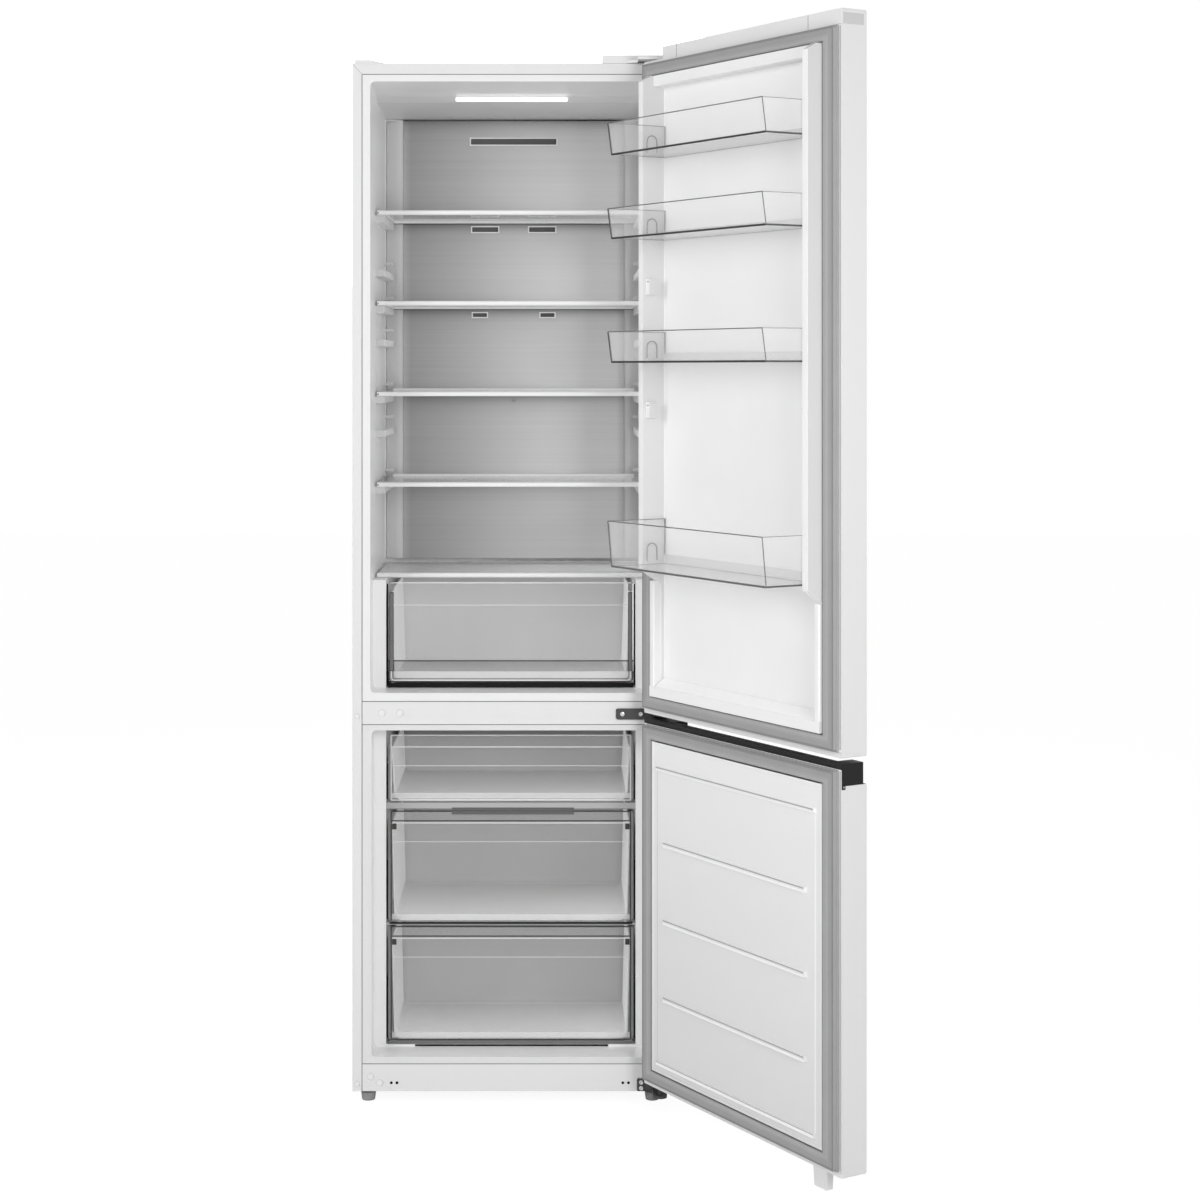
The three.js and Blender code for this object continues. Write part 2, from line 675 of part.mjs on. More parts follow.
// evaporator: a fin block behind the freezer's rear cover
const coverY = drawerRear + 8;
const coverPlate = 4;
const evaporator = {
  half: 185, y0: coverY + 12, y1: freezerRear - 6, z0: bayTop + 68, z1: bayTop + 250, fins: 11,
  hangerBite: 2, hangerInset: 20,
};
const finHalf = 0.8;
const finMargin = 8; // from a tube's end to the outer fin
const coilTube = 4;
function evaporatorBody() {
  const { half: h, y0, y1, z0, z1, fins } = evaporator;
  const plates = Array.from({ length: fins }, (_, i) => {
    const x = -h + finMargin + (i * 2 * (h - finMargin)) / (fins - 1);
    return block(x - finHalf, x + finHalf, y0, y1, z0, z1);
  });
  const tubes = [0.2, 0.5, 0.8].map((t) => (
    rodAlongX(-h, h, (y0 + y1) / 2, z0 + (z1 - z0) * t, coilTube, 6)));
  const hangers = pair(h - finMargin - finHalf, h - finMargin + 2 * finHalf,
    coverY + coverPlate + seam, y0 + evaporator.hangerBite,
    z0 + evaporator.hangerInset, z1 - evaporator.hangerInset);
  return join(...plates, ...tubes, hangers);
}
place('evaporator', evaporatorBody(), aluminium);

const fan = {
  z: freezerTop - 98, radius: 50, hub: 17, y0: coverY + 9, y1: coverY + 25, shaft: 2.5, shaftShort: 2,
  blades: 5, bladeBite: 4, bladeSheet: 1.6, bladeDepth: 22, bladeTurn: 58,
};
const airSlot = { width: 9, height: 34, pitch: 26, count: 11, z: freezerTop - 50 };
const returnSlot = { width: 100, height: 8, pitch: 150, count: 3, z: bayTop + 46 };
const rearCoverHead = 2; // play above the rear cover
function rearCover() {
  const z0 = bayTop + bayInsulation + coverPlate;
  const plate = wide(drawerHalf - 2 * seam, coverY, coverY + coverPlate,
    z0, freezerTop - mouthStep - rearCoverHead);
  const slots = [airSlot, returnSlot].flatMap(({ width, height, pitch, count, z }) => (
    Array.from({ length: count }, (_, i) => {
      const x = (i - (count - 1) / 2) * pitch;
      return block(x - width / 2, x + width / 2, coverY - mouthSlack, coverY + coverPlate + mouthSlack,
        z, z + height);
    })));
  return cut(plate, ...slots);
}
place('freezer_rear_cover', rearCover(), whitePlastic);

// the motor hangs on two arms whose legs stand on the rear cover
const motor = { radius: 22, length: 22, gap: 3, armHalf: 5, armThickness: 4, legHalf: 3, reach: 62 };
function fanMotor() {
  const y0 = fan.y1 + motor.gap;
  const y1 = y0 + motor.length;
  const can = rodAlongY(0, y0, y1, fan.z, motor.radius, 20);
  const shaft = rodAlongY(0, fan.y0 + fan.shaftShort, y0 + mouthSlack, fan.z, fan.shaft);
  const z0 = fan.z - motor.armHalf;
  const z1 = fan.z + motor.armHalf;
  const bar = wide(motor.reach, y1 - motor.armThickness, y1, z0, z1);
  const legs = pair(motor.reach - motor.legHalf, motor.reach + motor.legHalf,
    coverY + coverPlate + seam, y1, z0, z1);
  return join(can, shaft, bar, legs);
}
place('fan_motor', fanMotor(), blackPlastic);

function fanWheel() {
  const inner = fan.hub - fan.bladeBite;
  const blades = Array.from({ length: fan.blades }, (_, i) => {
    const blade = new THREE.BoxGeometry(fan.radius - inner, fan.bladeSheet, fan.bladeDepth);
    blade.rotateX(THREE.MathUtils.degToRad(fan.bladeTurn)).translate((fan.radius + inner) / 2, 0, 0);
    blade.rotateY((i * 2 * Math.PI) / fan.blades).translate(0, (fan.y0 + fan.y1) / 2, fan.z);
    return solid(blade);
  });
  const hub = rodAlongY(0, fan.y0, fan.y1, fan.z, fan.hub, 20);
  const bore = rodAlongY(0, fan.y0 - mouthSlack, fan.y1 + mouthSlack, fan.z, fan.shaft + pinPlay);
  return cut(join(hub, ...blades), bore);
}
place('fan_wheel', fanWheel(), whitePlastic);

// ---------------------------------------------------------------- fresh-food fittings

// air outlets of the metal front: [half distance between their middles, width, height, level]
const outlets = [
  { offset: 0, width: 177, height: 12, z: metalTop - 43 },
  { offset: 59, width: 54, height: 10, z: shelfTops[0] - 21 },
  { offset: 70, width: 29, height: 8, z: shelfTops[1] - 21 },
];
function outletCuts(depthFrom, depthTo) {
  return outlets.flatMap(({ offset, width, height, z }) => (
    (offset ? [-offset, offset] : [0]).map((x) => (
      block(x - width / 2, x + width / 2, depthFrom, depthTo, z - height / 2, z + height / 2)))));
}
const metalRear = metalFront + metalSheet;
place('metal_back_panel', cut(wide(metalHalf, metalFront, metalRear, metalBottom, metalTop),
  ...outletCuts(metalFront - mouthSlack, metalRear + mouthSlack)), brushedMetal);

const ductFront = metalRear + seam;
const ductRear = fridgeRear - seam;
const ductSide = 1; // play to the side walls
const ductPocket = 20; // depth of the outlets in the duct
const ductHalf = fridgeHalf - seam - ductSide;
const ductProfile = outline([
  [-ductHalf, ductRear], [-ductHalf, ductRear - ductFoot],
  [-metalHalf - ductBevel, ductFront + ductShoulder], [-metalHalf - ductSide, ductFront],
  [metalHalf + ductSide, ductFront], [metalHalf + ductBevel, ductFront + ductShoulder],
  [ductHalf, ductRear - ductFoot], [ductHalf, ductRear],
]);
place('air_duct', cut(alongZ(ductProfile, metalBottom, metalTop),
  ...outletCuts(ductFront - mouthSlack, ductFront + ductPocket)), whitePlastic);

// lamp lens on the slanting step of the ceiling
function lampBody() {
  const front = new THREE.Vector2(lampFront, fridgeTop - lampFrontDrop);
  const rear = new THREE.Vector2(lampRear, fridgeTop - lampRearDrop);
  const along = rear.clone().sub(front).normalize();
  const out = new THREE.Vector2(along.y, -along.x);
  const corner = (a, b) => front.clone().addScaledVector(along, a).addScaledVector(out, b).toArray();
  const length = rear.distanceTo(front);
  const bevel = lampInset + lampBevel;
  const lens = [corner(lampInset, seam), corner(length - lampInset, seam),
    corner(length - bevel, lampProud), corner(bevel, lampProud)];
  return alongX(outline(lens), -lampHalf, lampHalf);
}
place('lamp_lens', lampBody(), lampLens);

function shelfFrame(top) {
  const z0 = top - trimHeight;
  const bar = roundedOutline(shelfFront, shelfFront + trimDepth, z0, top, trimCorner);
  const front = alongX(bar, -shelfHalf, shelfHalf, 2);
  const rear = wide(shelfRearHalf, shelfRear - trimDepth, shelfRear, z0, top);
  const side = pair(shelfRearHalf - trimDepth, shelfRearHalf, shelfFront + trimDepth - mouthSlack,
    shelfRear - trimDepth + mouthSlack, z0, top - glassThickness - 2 * seam);
  return join(front, rear, side);
}
function shelfGlass(top) {
  return wide(shelfHalf - glassInset, shelfFront + trimDepth + seam, shelfRear - trimDepth - seam,
    top - glassThickness - seam, top - seam);
}
shelfTops.forEach((top, i) => {
  place(`shelf_frame_${i + 1}`, shelfFrame(top), whitePlastic);
  place(`shelf_glass_${i + 1}`, shelfGlass(top), glass);
});
place('crisper_shelf_frame', shelfFrame(crisperShelfTop), whitePlastic);
place('crisper_shelf_glass', shelfGlass(crisperShelfTop), glass);

// ---------------------------------------------------------------- drawers

// an open-topped clear tub whose front stands a little higher than its sides
const frontDepth = 14; // how far back the raised front reaches
const rimDepth = 16;
const rimHeight = 3;
const freezerTub = { rear: drawerRear, sideDrop: 22, radius: 6 };
function drawerTub({ bottom, top, rear, sideDrop, radius }) {
  const h = drawerHalfOuter;
  const shape = roundedOutline(-h, h, bottom, top, radius);
  const outer = alongY(shape, drawerFront, rear);
  const inner = alongY(roundedOutline(-h + drawerWall, h - drawerWall, bottom + drawerWall,
    top + radius, radius - drawerWall), drawerFront + drawerWall, rear - drawerWall);
  const aboveSides = wide(h + mouthSlack, drawerFront + frontDepth, rear + mouthSlack,
    top - sideDrop, top + mouthSlack);
  const rim = wide(h - radius, drawerFront + drawerWall - seam, drawerFront + rimDepth,
    top - rimHeight, top);
  return join(cut(outer, inner, aboveSides), rim);
}
const drawers = {
  crisper_drawer: {
    bottom: crisperBottom, top: crisperTop, rear: crisperRear, sideDrop: 16, radius: 10,
  },
  freezer_drawer_upper: { ...freezerTub, ...upperDrawer },
  freezer_drawer_middle: { ...freezerTub, ...middleDrawer },
  freezer_drawer_lower: { ...freezerTub, ...lowerDrawer, rear: lowerDrawerRear },
};
for (const [name, tub] of Object.entries(drawers)) {
  place(name, drawerTub(tub), clearPlastic);
}

// ---------------------------------------------------------------- doors, drawn closed in pivot groups

function pivot() {
  const swing = new THREE.Group();
  swing.position.set(hingeX, hingeY, 0);
  swing.rotation.z = THREE.MathUtils.degToRad(openAngle);
  const closed = new THREE.Group();
  closed.position.set(-hingeX, -hingeY, 0);
  swing.add(closed);
  refrigerator.add(swing);
  return closed;
}
const fridgeDoor = pivot();
const freezerDoor = pivot();

// outer skin: front sheet with both side edges returned
function doorSkin(z0, z1) {
  const edge = doorEdge;
  const shape = new THREE.Shape();
  shape.moveTo(-doorHalf, doorIn);
  shape.lineTo(-doorHalf, doorOut + edge);
  shape.absarc(-doorHalf + edge, doorOut + edge, edge, Math.PI, 1.5 * Math.PI);
  shape.absarc(doorHalf - edge, doorOut + edge, edge, 1.5 * Math.PI, 2 * Math.PI);
  shape.lineTo(doorHalf, doorIn);
  shape.lineTo(doorHalf - sheet, doorIn);
  shape.lineTo(doorHalf - sheet, doorOut + sheet);
  shape.lineTo(-doorHalf + sheet, doorOut + sheet);
  shape.lineTo(-doorHalf + sheet, doorIn);
  return alongZ(shape, z0, z1, 4);
}

const inHalf = doorHalf - sheet - seam; // what fits between the skin's edges
const fillOut = doorOut + sheet + seam;
const linerBack = doorIn - panelSink - doorLinerWall;
const gasketHalf = doorHalf - gasketInset;
const mouthInner = gasketHalf - gasketWidth; // the dykes rise just inside the gasket

const fridgeLinerZ = [fridgeDoorBottom + linerFoot, fridgeDoorTop - fridgeLinerHead];
const freezerLinerZ = [freezerDoorBottom + linerFoot, freezerDoorTop - freezerLinerHead];

// the seal: a base strip, and a softer bead on it that is a little narrower
function gasket([linerLow, linerHigh]) {
  const low = linerLow + gasketMargin;
  const high = linerHigh - gasketMargin;
  const ring = (inset, y0, y1) => {
    const shape = roundedOutline(-gasketHalf + inset, gasketHalf - inset,
      low + inset, high - inset, gasketCorner);
    const hole = roundedOutline(-mouthInner - gasketPlay - inset, mouthInner + gasketPlay + inset,
      low + gasketRise - gasketPlay - inset, high - gasketRise + gasketPlay + inset, gasketHoleCorner);
    return cut(alongY(shape, y0, y1), alongY(hole, y0 - mouthSlack, y1 + mouthSlack));
  };
  const baseTop = doorIn + gasketBase;
  return join(ring(0, doorIn + seam, baseTop), ring(gasketBead, baseTop - seam, doorIn + gasketReach));
}

// inner face of the fridge door, moved inwards by a wall: flange, dykes, top ridge, sill and sunk panel
const ridgeReach = 16;
const ridgeHeight = 20;
const ridgeGap = 1; // from the gasket's room to the ridges and the raised field
const dykeOuter = mouthInner - gasketPlay;
const dykeInner = dykeOuter - dykeWidth;
const basketHalf = dykeInner - basketPlay;
function fridgeDoorForm(inset) {
  const [z0, z1] = fridgeLinerZ;
  const base = wide(inHalf - inset, linerBack, doorIn - inset, z0 + inset, z1 - inset);
  const top = z1 - gasketRise - ridgeGap - inset;
  const bottom = dykeBottom + inset;
  const reach = doorIn + dykeReach - inset;
  const side = outline([[linerBack, bottom - dykeDrop], [doorIn - inset, bottom - dykeDrop],
    [reach, bottom], [reach, top - dykeChamfer], [reach - dykeSlope, top], [linerBack, top]]);
  const x0 = dykeInner + inset;
  const x1 = dykeOuter - inset;
  const dykes = join(alongX(side, x0, x1), alongX(side, -x1, -x0));
  const ridge = wide(x1, linerBack, doorIn + ridgeReach - inset,
    top - ridgeHeight + 2 * inset, top);
  const low = z0 + gasketRise + ridgeGap + inset;
  const sill = wide(x1, linerBack, doorIn + ridgeReach - inset, low, low + ridgeHeight - 2 * inset);
  const sunk = wide(x0, doorIn - panelSink - inset, doorIn + dykeReach,
    low + ridgeHeight - 2 * inset, top - ridgeHeight + 2 * inset);
  return cut(join(base, dykes, ridge, sill), sunk);
}

// pegs on the dykes that the baskets hang over, and the spare ones
function basketPegs() {
  const levels = [...basketHeights.map(([z0]) => z0 + pegRise), ...sparePegs];
  return join(...levels.map((z) => (
    pair(basketHalf + seam, dykeInner + mouthSlack, pegRear, pegFront, z, z + pegHeight))));
}

// end caps: a strip between the liner's edge and the skin's end, and a deeper tongue behind the liner
function endCap(zEnd, zLiner, direction) {
  const zTongue = zLiner + direction * capInner;
  const low = Math.min(zEnd, zTongue);
  const high = Math.max(zEnd, zTongue);
  const strip = wide(inHalf, fillOut, doorIn, Math.min(zEnd, zLiner), Math.max(zEnd, zLiner));
  return join(strip, wide(inHalf, fillOut, linerBack - seam, low, high));
}
// joins the insulation in the door's pan to the insulation inside the liner's flange
const bridgeInset = 5;
function foamBridge([z0, z1]) {
  return pair(mouthInner, inHalf - bridgeInset, linerBack - mouthSlack, linerBack + mouthSlack,
    z0 + gasketRise, z1 - gasketRise);
}
function pinHole(z0, z1) {
  return post(hingeX, hingeY, z0, z1, pinRadius + pinPlay);
}

// room for the top hinge at the door's upper corner
const hingeNotch = block(doorHalf - notchWidth, doorHalf + mouthSlack, doorOut - mouthSlack,
  doorIn + mouthSlack, notchFloor, fridgeDoorTop + mouthSlack);
const skinShort = 2; // the outer skins end inside the end caps' faces
place('fridge_door_skin', cut(
  doorSkin(fridgeDoorBottom + skinShort, fridgeDoorTop - skinShort), hingeNotch),
whitePaint, fridgeDoor);
place('fridge_door_liner', join(cut(fridgeDoorForm(0), fridgeDoorForm(doorLinerWall)), basketPegs()),
  whitePlastic, fridgeDoor);
place('fridge_door_gasket', gasket(fridgeLinerZ), greyRubber, fridgeDoor);
place('fridge_door_foam', join(
  wide(inHalf, fillOut, linerBack - seam,
    fridgeLinerZ[0] + capInner + seam, fridgeLinerZ[1] - capInner - seam),
  foamBridge(fridgeLinerZ), fridgeDoorForm(doorLinerWall + seam)), foam, fridgeDoor);

// hand pockets: one in the lower cap of this door, one in the strip on the freezer door
const grip = {
  y0: doorOut + 12, y1: doorOut + 38, left: -doorHalf + 30, right: doorHalf - 80, depth: 14,
  stripY0: doorOut + 15, lipY1: doorOut + 16, lipDrop: 11, stripFloor: 8,
};
const pinPocket = pinBite + 2; // how deep a pin's hole is
const fridgeTopCap = cut(
  endCap(fridgeDoorTop, fridgeLinerZ[1] + seam, -1),
  hingeNotch,
  pinHole(fridgeLinerZ[1] - capInner - mouthSlack, notchFloor + mouthSlack));
place('fridge_door_top_cap', fridgeTopCap, whitePlastic, fridgeDoor);
const fridgeBottomCap = cut(
  endCap(fridgeDoorBottom, fridgeLinerZ[0] - seam, 1),
  block(grip.left, grip.right, grip.y0, grip.y1,
    fridgeDoorBottom - mouthSlack, fridgeDoorBottom + grip.depth),
  pinHole(fridgeDoorBottom - mouthSlack, fridgeDoorBottom + pinPocket));
place('fridge_door_bottom_cap', fridgeBottomCap, whitePlastic, fridgeDoor);

// door baskets: clear trays between the dykes, low at the rear, with a hook over each peg
function basket(z0, z1) {
  const y0 = doorIn - panelSink + ridgeGap;
  const y1 = basketFront;
  const side = (inset, lift) => outline([
    [y0 + inset, z0 + inset], [y1 - basketRake - inset, z0 + inset],
    [y1 - inset, z1 + lift], [y0 + inset, z1 + lift]]);
  const outer = alongX(side(0, 0), -basketHalf, basketHalf);
  const inner = alongX(side(basketWall, mouthSlack), -basketHalf + basketWall, basketHalf - basketWall);
  const aboveRear = wide(basketHalf - basketWall, y0 - mouthSlack, y0 + basketWall + mouthSlack,
    z0 + basketRearHeight, z1 + mouthSlack);
  const pegTop = z0 + pegRise + pegHeight;
  const hooks = pair(basketHalf - basketWall / 2, dykeInner - seam, pegRear, pegFront,
    pegTop + seam, pegTop + hookHeight);
  return join(cut(outer, inner, aboveRear), hooks);
}
basketHeights.forEach(([z0, z1], i) => {
  place(`door_basket_${i + 1}`, basket(z0, z1), clearPlastic, fridgeDoor);
});

// freezer door: flatter liner with a raised field and three ribs
const fieldReach = 10;
const fieldCorner = 10;
const doorRibs = { count: 3, top: 515, pitch: 143, half: 215, proud: 5, halfHeight: 5 };
const endRibs = { half: 240, proud: 4, halfHeight: 4, low: 20, high: 48 };
function freezerDoorForm(inset) {
  const [z0, z1] = freezerLinerZ;
  const base = wide(inHalf - inset, linerBack, doorIn - inset, z0 + inset, z1 - inset);
  const h = mouthInner - gasketPlay - inset;
  const rise = gasketRise + ridgeGap + inset;
  const field = alongY(roundedOutline(-h, h, z0 + rise, z1 - rise, fieldCorner),
    linerBack, doorIn + fieldReach - inset);
  return join(base, field);
}
function rib({ half: h, proud, halfHeight }, z) {
  const face = doorIn + fieldReach;
  return wide(h, face - mouthSlack, face + proud, z - halfHeight, z + halfHeight);
}
function freezerDoorRibs() {
  const ribs = Array.from({ length: doorRibs.count }, (_, i) => (
    rib(doorRibs, doorRibs.top - i * doorRibs.pitch)));
  return join(...ribs,
    rib(endRibs, freezerLinerZ[0] + gasketRise + endRibs.low),
    rib(endRibs, freezerLinerZ[1] - gasketRise - endRibs.high));
}
const stripHeight = 37;
const stripBottom = freezerDoorTop - stripHeight; // lower edge of the dark grip strip
place('freezer_door_skin', doorSkin(freezerDoorBottom + skinShort, stripBottom - seam),
  whitePaint, freezerDoor);
place('freezer_door_liner', join(cut(freezerDoorForm(0), freezerDoorForm(doorLinerWall)),
  freezerDoorRibs()), whitePlastic, freezerDoor);
place('freezer_door_gasket', gasket(freezerLinerZ), greyRubber, freezerDoor);

const stripSunk = 8; // the strip stands back from the skin's face
const stripFront = doorOut + stripSunk;
const gripStrip = cut(
  join(
    wide(doorHalf, stripFront, doorIn, freezerLinerZ[1] + seam, freezerDoorTop),
    wide(doorHalf, stripFront, linerBack - seam, stripBottom, freezerLinerZ[1] + mouthSlack)),
  block(grip.left, grip.right, grip.stripY0, grip.y1,
    stripBottom + grip.stripFloor, freezerDoorTop + mouthSlack),
  block(grip.left, grip.right, stripFront - mouthSlack, grip.lipY1,
    freezerDoorTop - grip.lipDrop, freezerDoorTop + mouthSlack),
  pinHole(freezerDoorTop - pinPocket - 2, freezerDoorTop + mouthSlack));
place('freezer_door_grip_strip', gripStrip, blackPlastic, freezerDoor);
place('freezer_door_foam', join(
  wide(inHalf, fillOut, linerBack - seam, freezerLinerZ[0] + capInner + seam, stripBottom - seam),
  foamBridge([freezerLinerZ[0], stripBottom]), freezerDoorForm(doorLinerWall + seam)), foam, freezerDoor);
const freezerBottomCap = cut(
  endCap(freezerDoorBottom, freezerLinerZ[0] - seam, 1),
  pinHole(freezerDoorBottom - mouthSlack, freezerDoorBottom + pinPocket + 3));
place('freezer_door_bottom_cap', freezerBottomCap, whitePlastic, freezerDoor);

// white lug that hangs under the free end of the freezer door
const lug = { x0: -253, x1: -214, y0: doorIn - 19, y1: doorIn - 5, z0: freezerDoorBottom - 35, taper: 3 };
const lugSide = outline([
  [lug.x0 + lug.taper, lug.z0], [lug.x1 - lug.taper, lug.z0],
  [lug.x1, freezerDoorBottom - seam], [lug.x0, freezerDoorBottom - seam]]);
place('freezer_door_lug', alongY(lugSide, lug.y0, lug.y1), whitePlastic, freezerDoor);

// ---------------------------------------------------------------- hinges

const roof = casingTop + seam;
const armHalf = 13;
const topHinge = { x0: half - 78, y0: 8, y1: 66, plate: 3 };
place('top_hinge', join(
  block(topHinge.x0, hingeX + armHalf, topHinge.y0, topHinge.y1, roof, roof + topHinge.plate),
  block(hingeX - armHalf, hingeX + armHalf, hingeY, topHinge.y0 + mouthSlack, roof, roof + topHinge.plate),
  post(hingeX, hingeY, roof, roof + topHinge.plate, armHalf, 24),
  post(hingeX, hingeY, notchFloor - pinBite, roof + mouthSlack, pinRadius)), galvanised);

// cover over the top hinge: a box on the roof with a lower nose that reaches over the arm
const hingeCover = { x0: half - 122, x1: half - 2.5, y0: 3, y1: 76, top: roof + 13.7, wall: 2 };
const coverNose = { x0: half - 83, x1: half - 57, y0: -10, y1: hingeY - 17, top: roof + 3.7 };
function hingeCoverForm(grow, low) {
  const { x0, x1, y0, y1, top } = hingeCover;
  const nose = outline([
    [coverNose.x0 - grow, y0 - grow], [coverNose.x1 - grow, coverNose.y0 - grow],
    [coverNose.x1 - grow, coverNose.y1 - grow], [x1 + grow, coverNose.y1 - grow],
    [x1 + grow, y0 + mouthSlack], [coverNose.x0 - grow, y0 + mouthSlack]]);
  return join(block(x0 - grow, x1 + grow, y0 - grow, y1 + grow, low, top + grow),
    alongZ(nose, low, coverNose.top + grow));
}
place('top_hinge_cover', cut(
  hingeCoverForm(hingeCover.wall, roof), hingeCoverForm(0, roof - mouthSlack)), whitePlastic);

// cap over the holes for the hinge's other place: low at its inner edge, then flat
const reverseCap = {
  x0: -half + 4, flat: -half + 34, x1: -half + 60, edge: roof + 1, top: roof + 7.2, y0: 4, y1: 60,
};
place('corner_cap', alongY(outline([
  [reverseCap.x0, roof], [reverseCap.x1, roof], [reverseCap.x1, reverseCap.edge],
  [reverseCap.flat, reverseCap.top], [reverseCap.x0, reverseCap.top]]), reverseCap.y0, reverseCap.y1),
whitePlastic);

// middle hinge: a screwed plate, an arm in the gap between the doors, and a pin up and down
const hingePlate = 3;
const middlePlate = {
  x0: half - 99, x1: half - 3, z0: barBottom + 10, z1: barBottom + 31, corner: 4, arm: 4,
};
const armMiddle = (fridgeDoorBottom + freezerDoorTop) / 2;
const armZ0 = armMiddle - middlePlate.arm / 2;
const armZ1 = armMiddle + middlePlate.arm / 2;
place('middle_hinge', join(
  alongY(roundedOutline(middlePlate.x0, middlePlate.x1, middlePlate.z0, middlePlate.z1,
    middlePlate.corner), -hingePlate - seam, -seam),
  block(hingeX - armHalf, hingeX + armHalf, hingeY, -seam, armZ0, armZ1),
  post(hingeX, hingeY, armZ0, armZ1, armHalf, 24),
  post(hingeX, hingeY, freezerDoorTop - pinPocket, fridgeDoorBottom + pinBite, pinRadius)), darkMetal);

// bottom hinge: a plate on the base rail, an arm below the freezer door, and a pin upwards
const lowPlate = { x0: half - 59, x1: half - 2, z0: underGap + 1, z1: railTop - 27, corner: 3, arm: 5 };
const lowArmTop = lowPlate.z0 + lowPlate.arm;
place('bottom_hinge', join(
  alongY(roundedOutline(lowPlate.x0, lowPlate.x1, lowPlate.z0, lowPlate.z1, lowPlate.corner),
    -hingePlate - seam, -seam),
  block(hingeX - armHalf, hingeX + armHalf, hingeY, -seam, lowPlate.z0, lowArmTop),
  post(hingeX, hingeY, lowPlate.z0, lowArmTop, armHalf, 24),
  post(hingeX, hingeY, lowPlate.z0, freezerDoorBottom + pinBite + 3, pinRadius)), darkMetal);

// ---------------------------------------------------------------- feet and rollers

function levellingFoot(x) {
  return join(
    post(x, footY, 0, footCup, footRadius - footTaper, 24, footRadius),
    post(x, footY, footCup - mouthSlack, underGap - seam, stemRadius * 2, 6),
    post(x, footY, footCup - mouthSlack, panZ1 + stemReach, stemRadius));
}
place('front_foot_left', levellingFoot(-footX), feetPlastic);
place('front_foot_right', levellingFoot(footX), feetPlastic);

function roller(x) {
  return cut(rodAlongX(x - rollerWidth / 2, x + rollerWidth / 2, rollerY, rollerRadius, rollerRadius, 32),
    rodAlongX(x - rollerWidth, x + rollerWidth, rollerY, rollerRadius, axleRadius + pinPlay));
}
place('rear_roller_left', roller(-rollerX), feetPlastic);
place('rear_roller_right', roller(rollerX), feetPlastic);

// ---------------------------------------------------------------- origin

// the middle of the standing outline, on the floor
refrigerator.updateMatrixWorld(true);
const extent = new THREE.Box3().setFromObject(refrigerator, true);
const middle = extent.getCenter(new THREE.Vector3());
refrigerator.position.set(-middle.x, -middle.y, -extent.min.z);
refrigerator.updateMatrixWorld(true);

export default refrigerator;
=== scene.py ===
"""The looks of a tall refrigerator with its freezer below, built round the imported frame.

Places are millimetres from the casing's middle (x), its front plane (y) and the floor (z).
Pieces of the doors are modelled as if the doors were shut, and are then swung open.
"""

import json
import math

import bpy
from mathutils import Matrix, Vector

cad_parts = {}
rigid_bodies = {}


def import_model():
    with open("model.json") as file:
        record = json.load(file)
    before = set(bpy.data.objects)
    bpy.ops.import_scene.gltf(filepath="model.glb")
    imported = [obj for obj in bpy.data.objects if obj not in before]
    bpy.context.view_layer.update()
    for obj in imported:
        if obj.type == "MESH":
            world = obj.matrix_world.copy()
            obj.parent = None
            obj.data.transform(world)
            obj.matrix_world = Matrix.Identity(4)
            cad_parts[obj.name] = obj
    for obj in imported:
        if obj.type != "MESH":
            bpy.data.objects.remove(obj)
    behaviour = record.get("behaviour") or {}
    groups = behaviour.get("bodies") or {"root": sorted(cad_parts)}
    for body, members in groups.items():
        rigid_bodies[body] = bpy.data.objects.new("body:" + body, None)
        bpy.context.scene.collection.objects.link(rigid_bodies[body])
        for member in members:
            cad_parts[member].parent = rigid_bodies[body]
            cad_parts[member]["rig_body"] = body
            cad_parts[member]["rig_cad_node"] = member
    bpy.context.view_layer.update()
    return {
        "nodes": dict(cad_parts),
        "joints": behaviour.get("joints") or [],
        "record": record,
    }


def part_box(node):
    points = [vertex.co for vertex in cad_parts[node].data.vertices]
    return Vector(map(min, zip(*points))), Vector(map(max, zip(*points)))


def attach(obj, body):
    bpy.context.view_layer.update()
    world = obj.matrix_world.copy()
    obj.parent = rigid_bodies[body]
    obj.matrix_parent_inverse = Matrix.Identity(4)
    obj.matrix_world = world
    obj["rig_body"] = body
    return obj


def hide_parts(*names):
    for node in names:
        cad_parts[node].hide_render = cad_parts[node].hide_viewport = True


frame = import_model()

# ---- places taken from the frame

MM = 0.001
CASING_LOW, CASING_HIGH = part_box("cabinet_shell")
MIDDLE = (CASING_LOW.x + CASING_HIGH.x) / 2
FRONT = CASING_LOW.y
HALF = (CASING_HIGH.x - CASING_LOW.x) / 2 / MM
TOP = CASING_HIGH.z / MM

HINGE = next(joint for joint in frame["joints"] if joint["name"] == "fridge_door_hinge")
PIN = Vector(HINGE["pos_m"])
OPENED = math.radians(-HINGE["range_deg"][0])
SWING = Matrix.Translation(PIN) @ Matrix.Rotation(OPENED, 4, "Z") @ Matrix.Translation(-PIN)

SLOTS = {part["node"]: part["material_slot"] for part in frame["record"]["subparts"]}
BODIES = {node: body for body, nodes in frame["record"]["behaviour"]["bodies"].items() for node in nodes}

DOOR_IN = -12  # the doors' inner faces when shut
DOOR_HALF = 299


def at(x, y, z):
    """The point at these millimetres, in the row frame."""
    return Vector((MIDDLE + x * MM, FRONT + y * MM, z * MM))


def place_of(point):
    """A point of a mesh, back in millimetres."""
    return (point.x - MIDDLE) / MM, (point.y - FRONT) / MM, point.z / MM


def mirrored(inner, outer):
    """A stretch of x on the left, and the same stretch on the right."""
    return (-outer, -inner), (inner, outer)


def in_band(low, high, value):
    return low < value < high


def span(node):
    """A node's lowest and highest corner in millimetres, for nodes that don't ride on a door."""
    low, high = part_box(node)
    return place_of(low), place_of(high)


def heights(node):
    """The lowest and highest millimetre of any node."""
    low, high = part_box(node)
    return low.z / MM, high.z / MM


# ---- materials


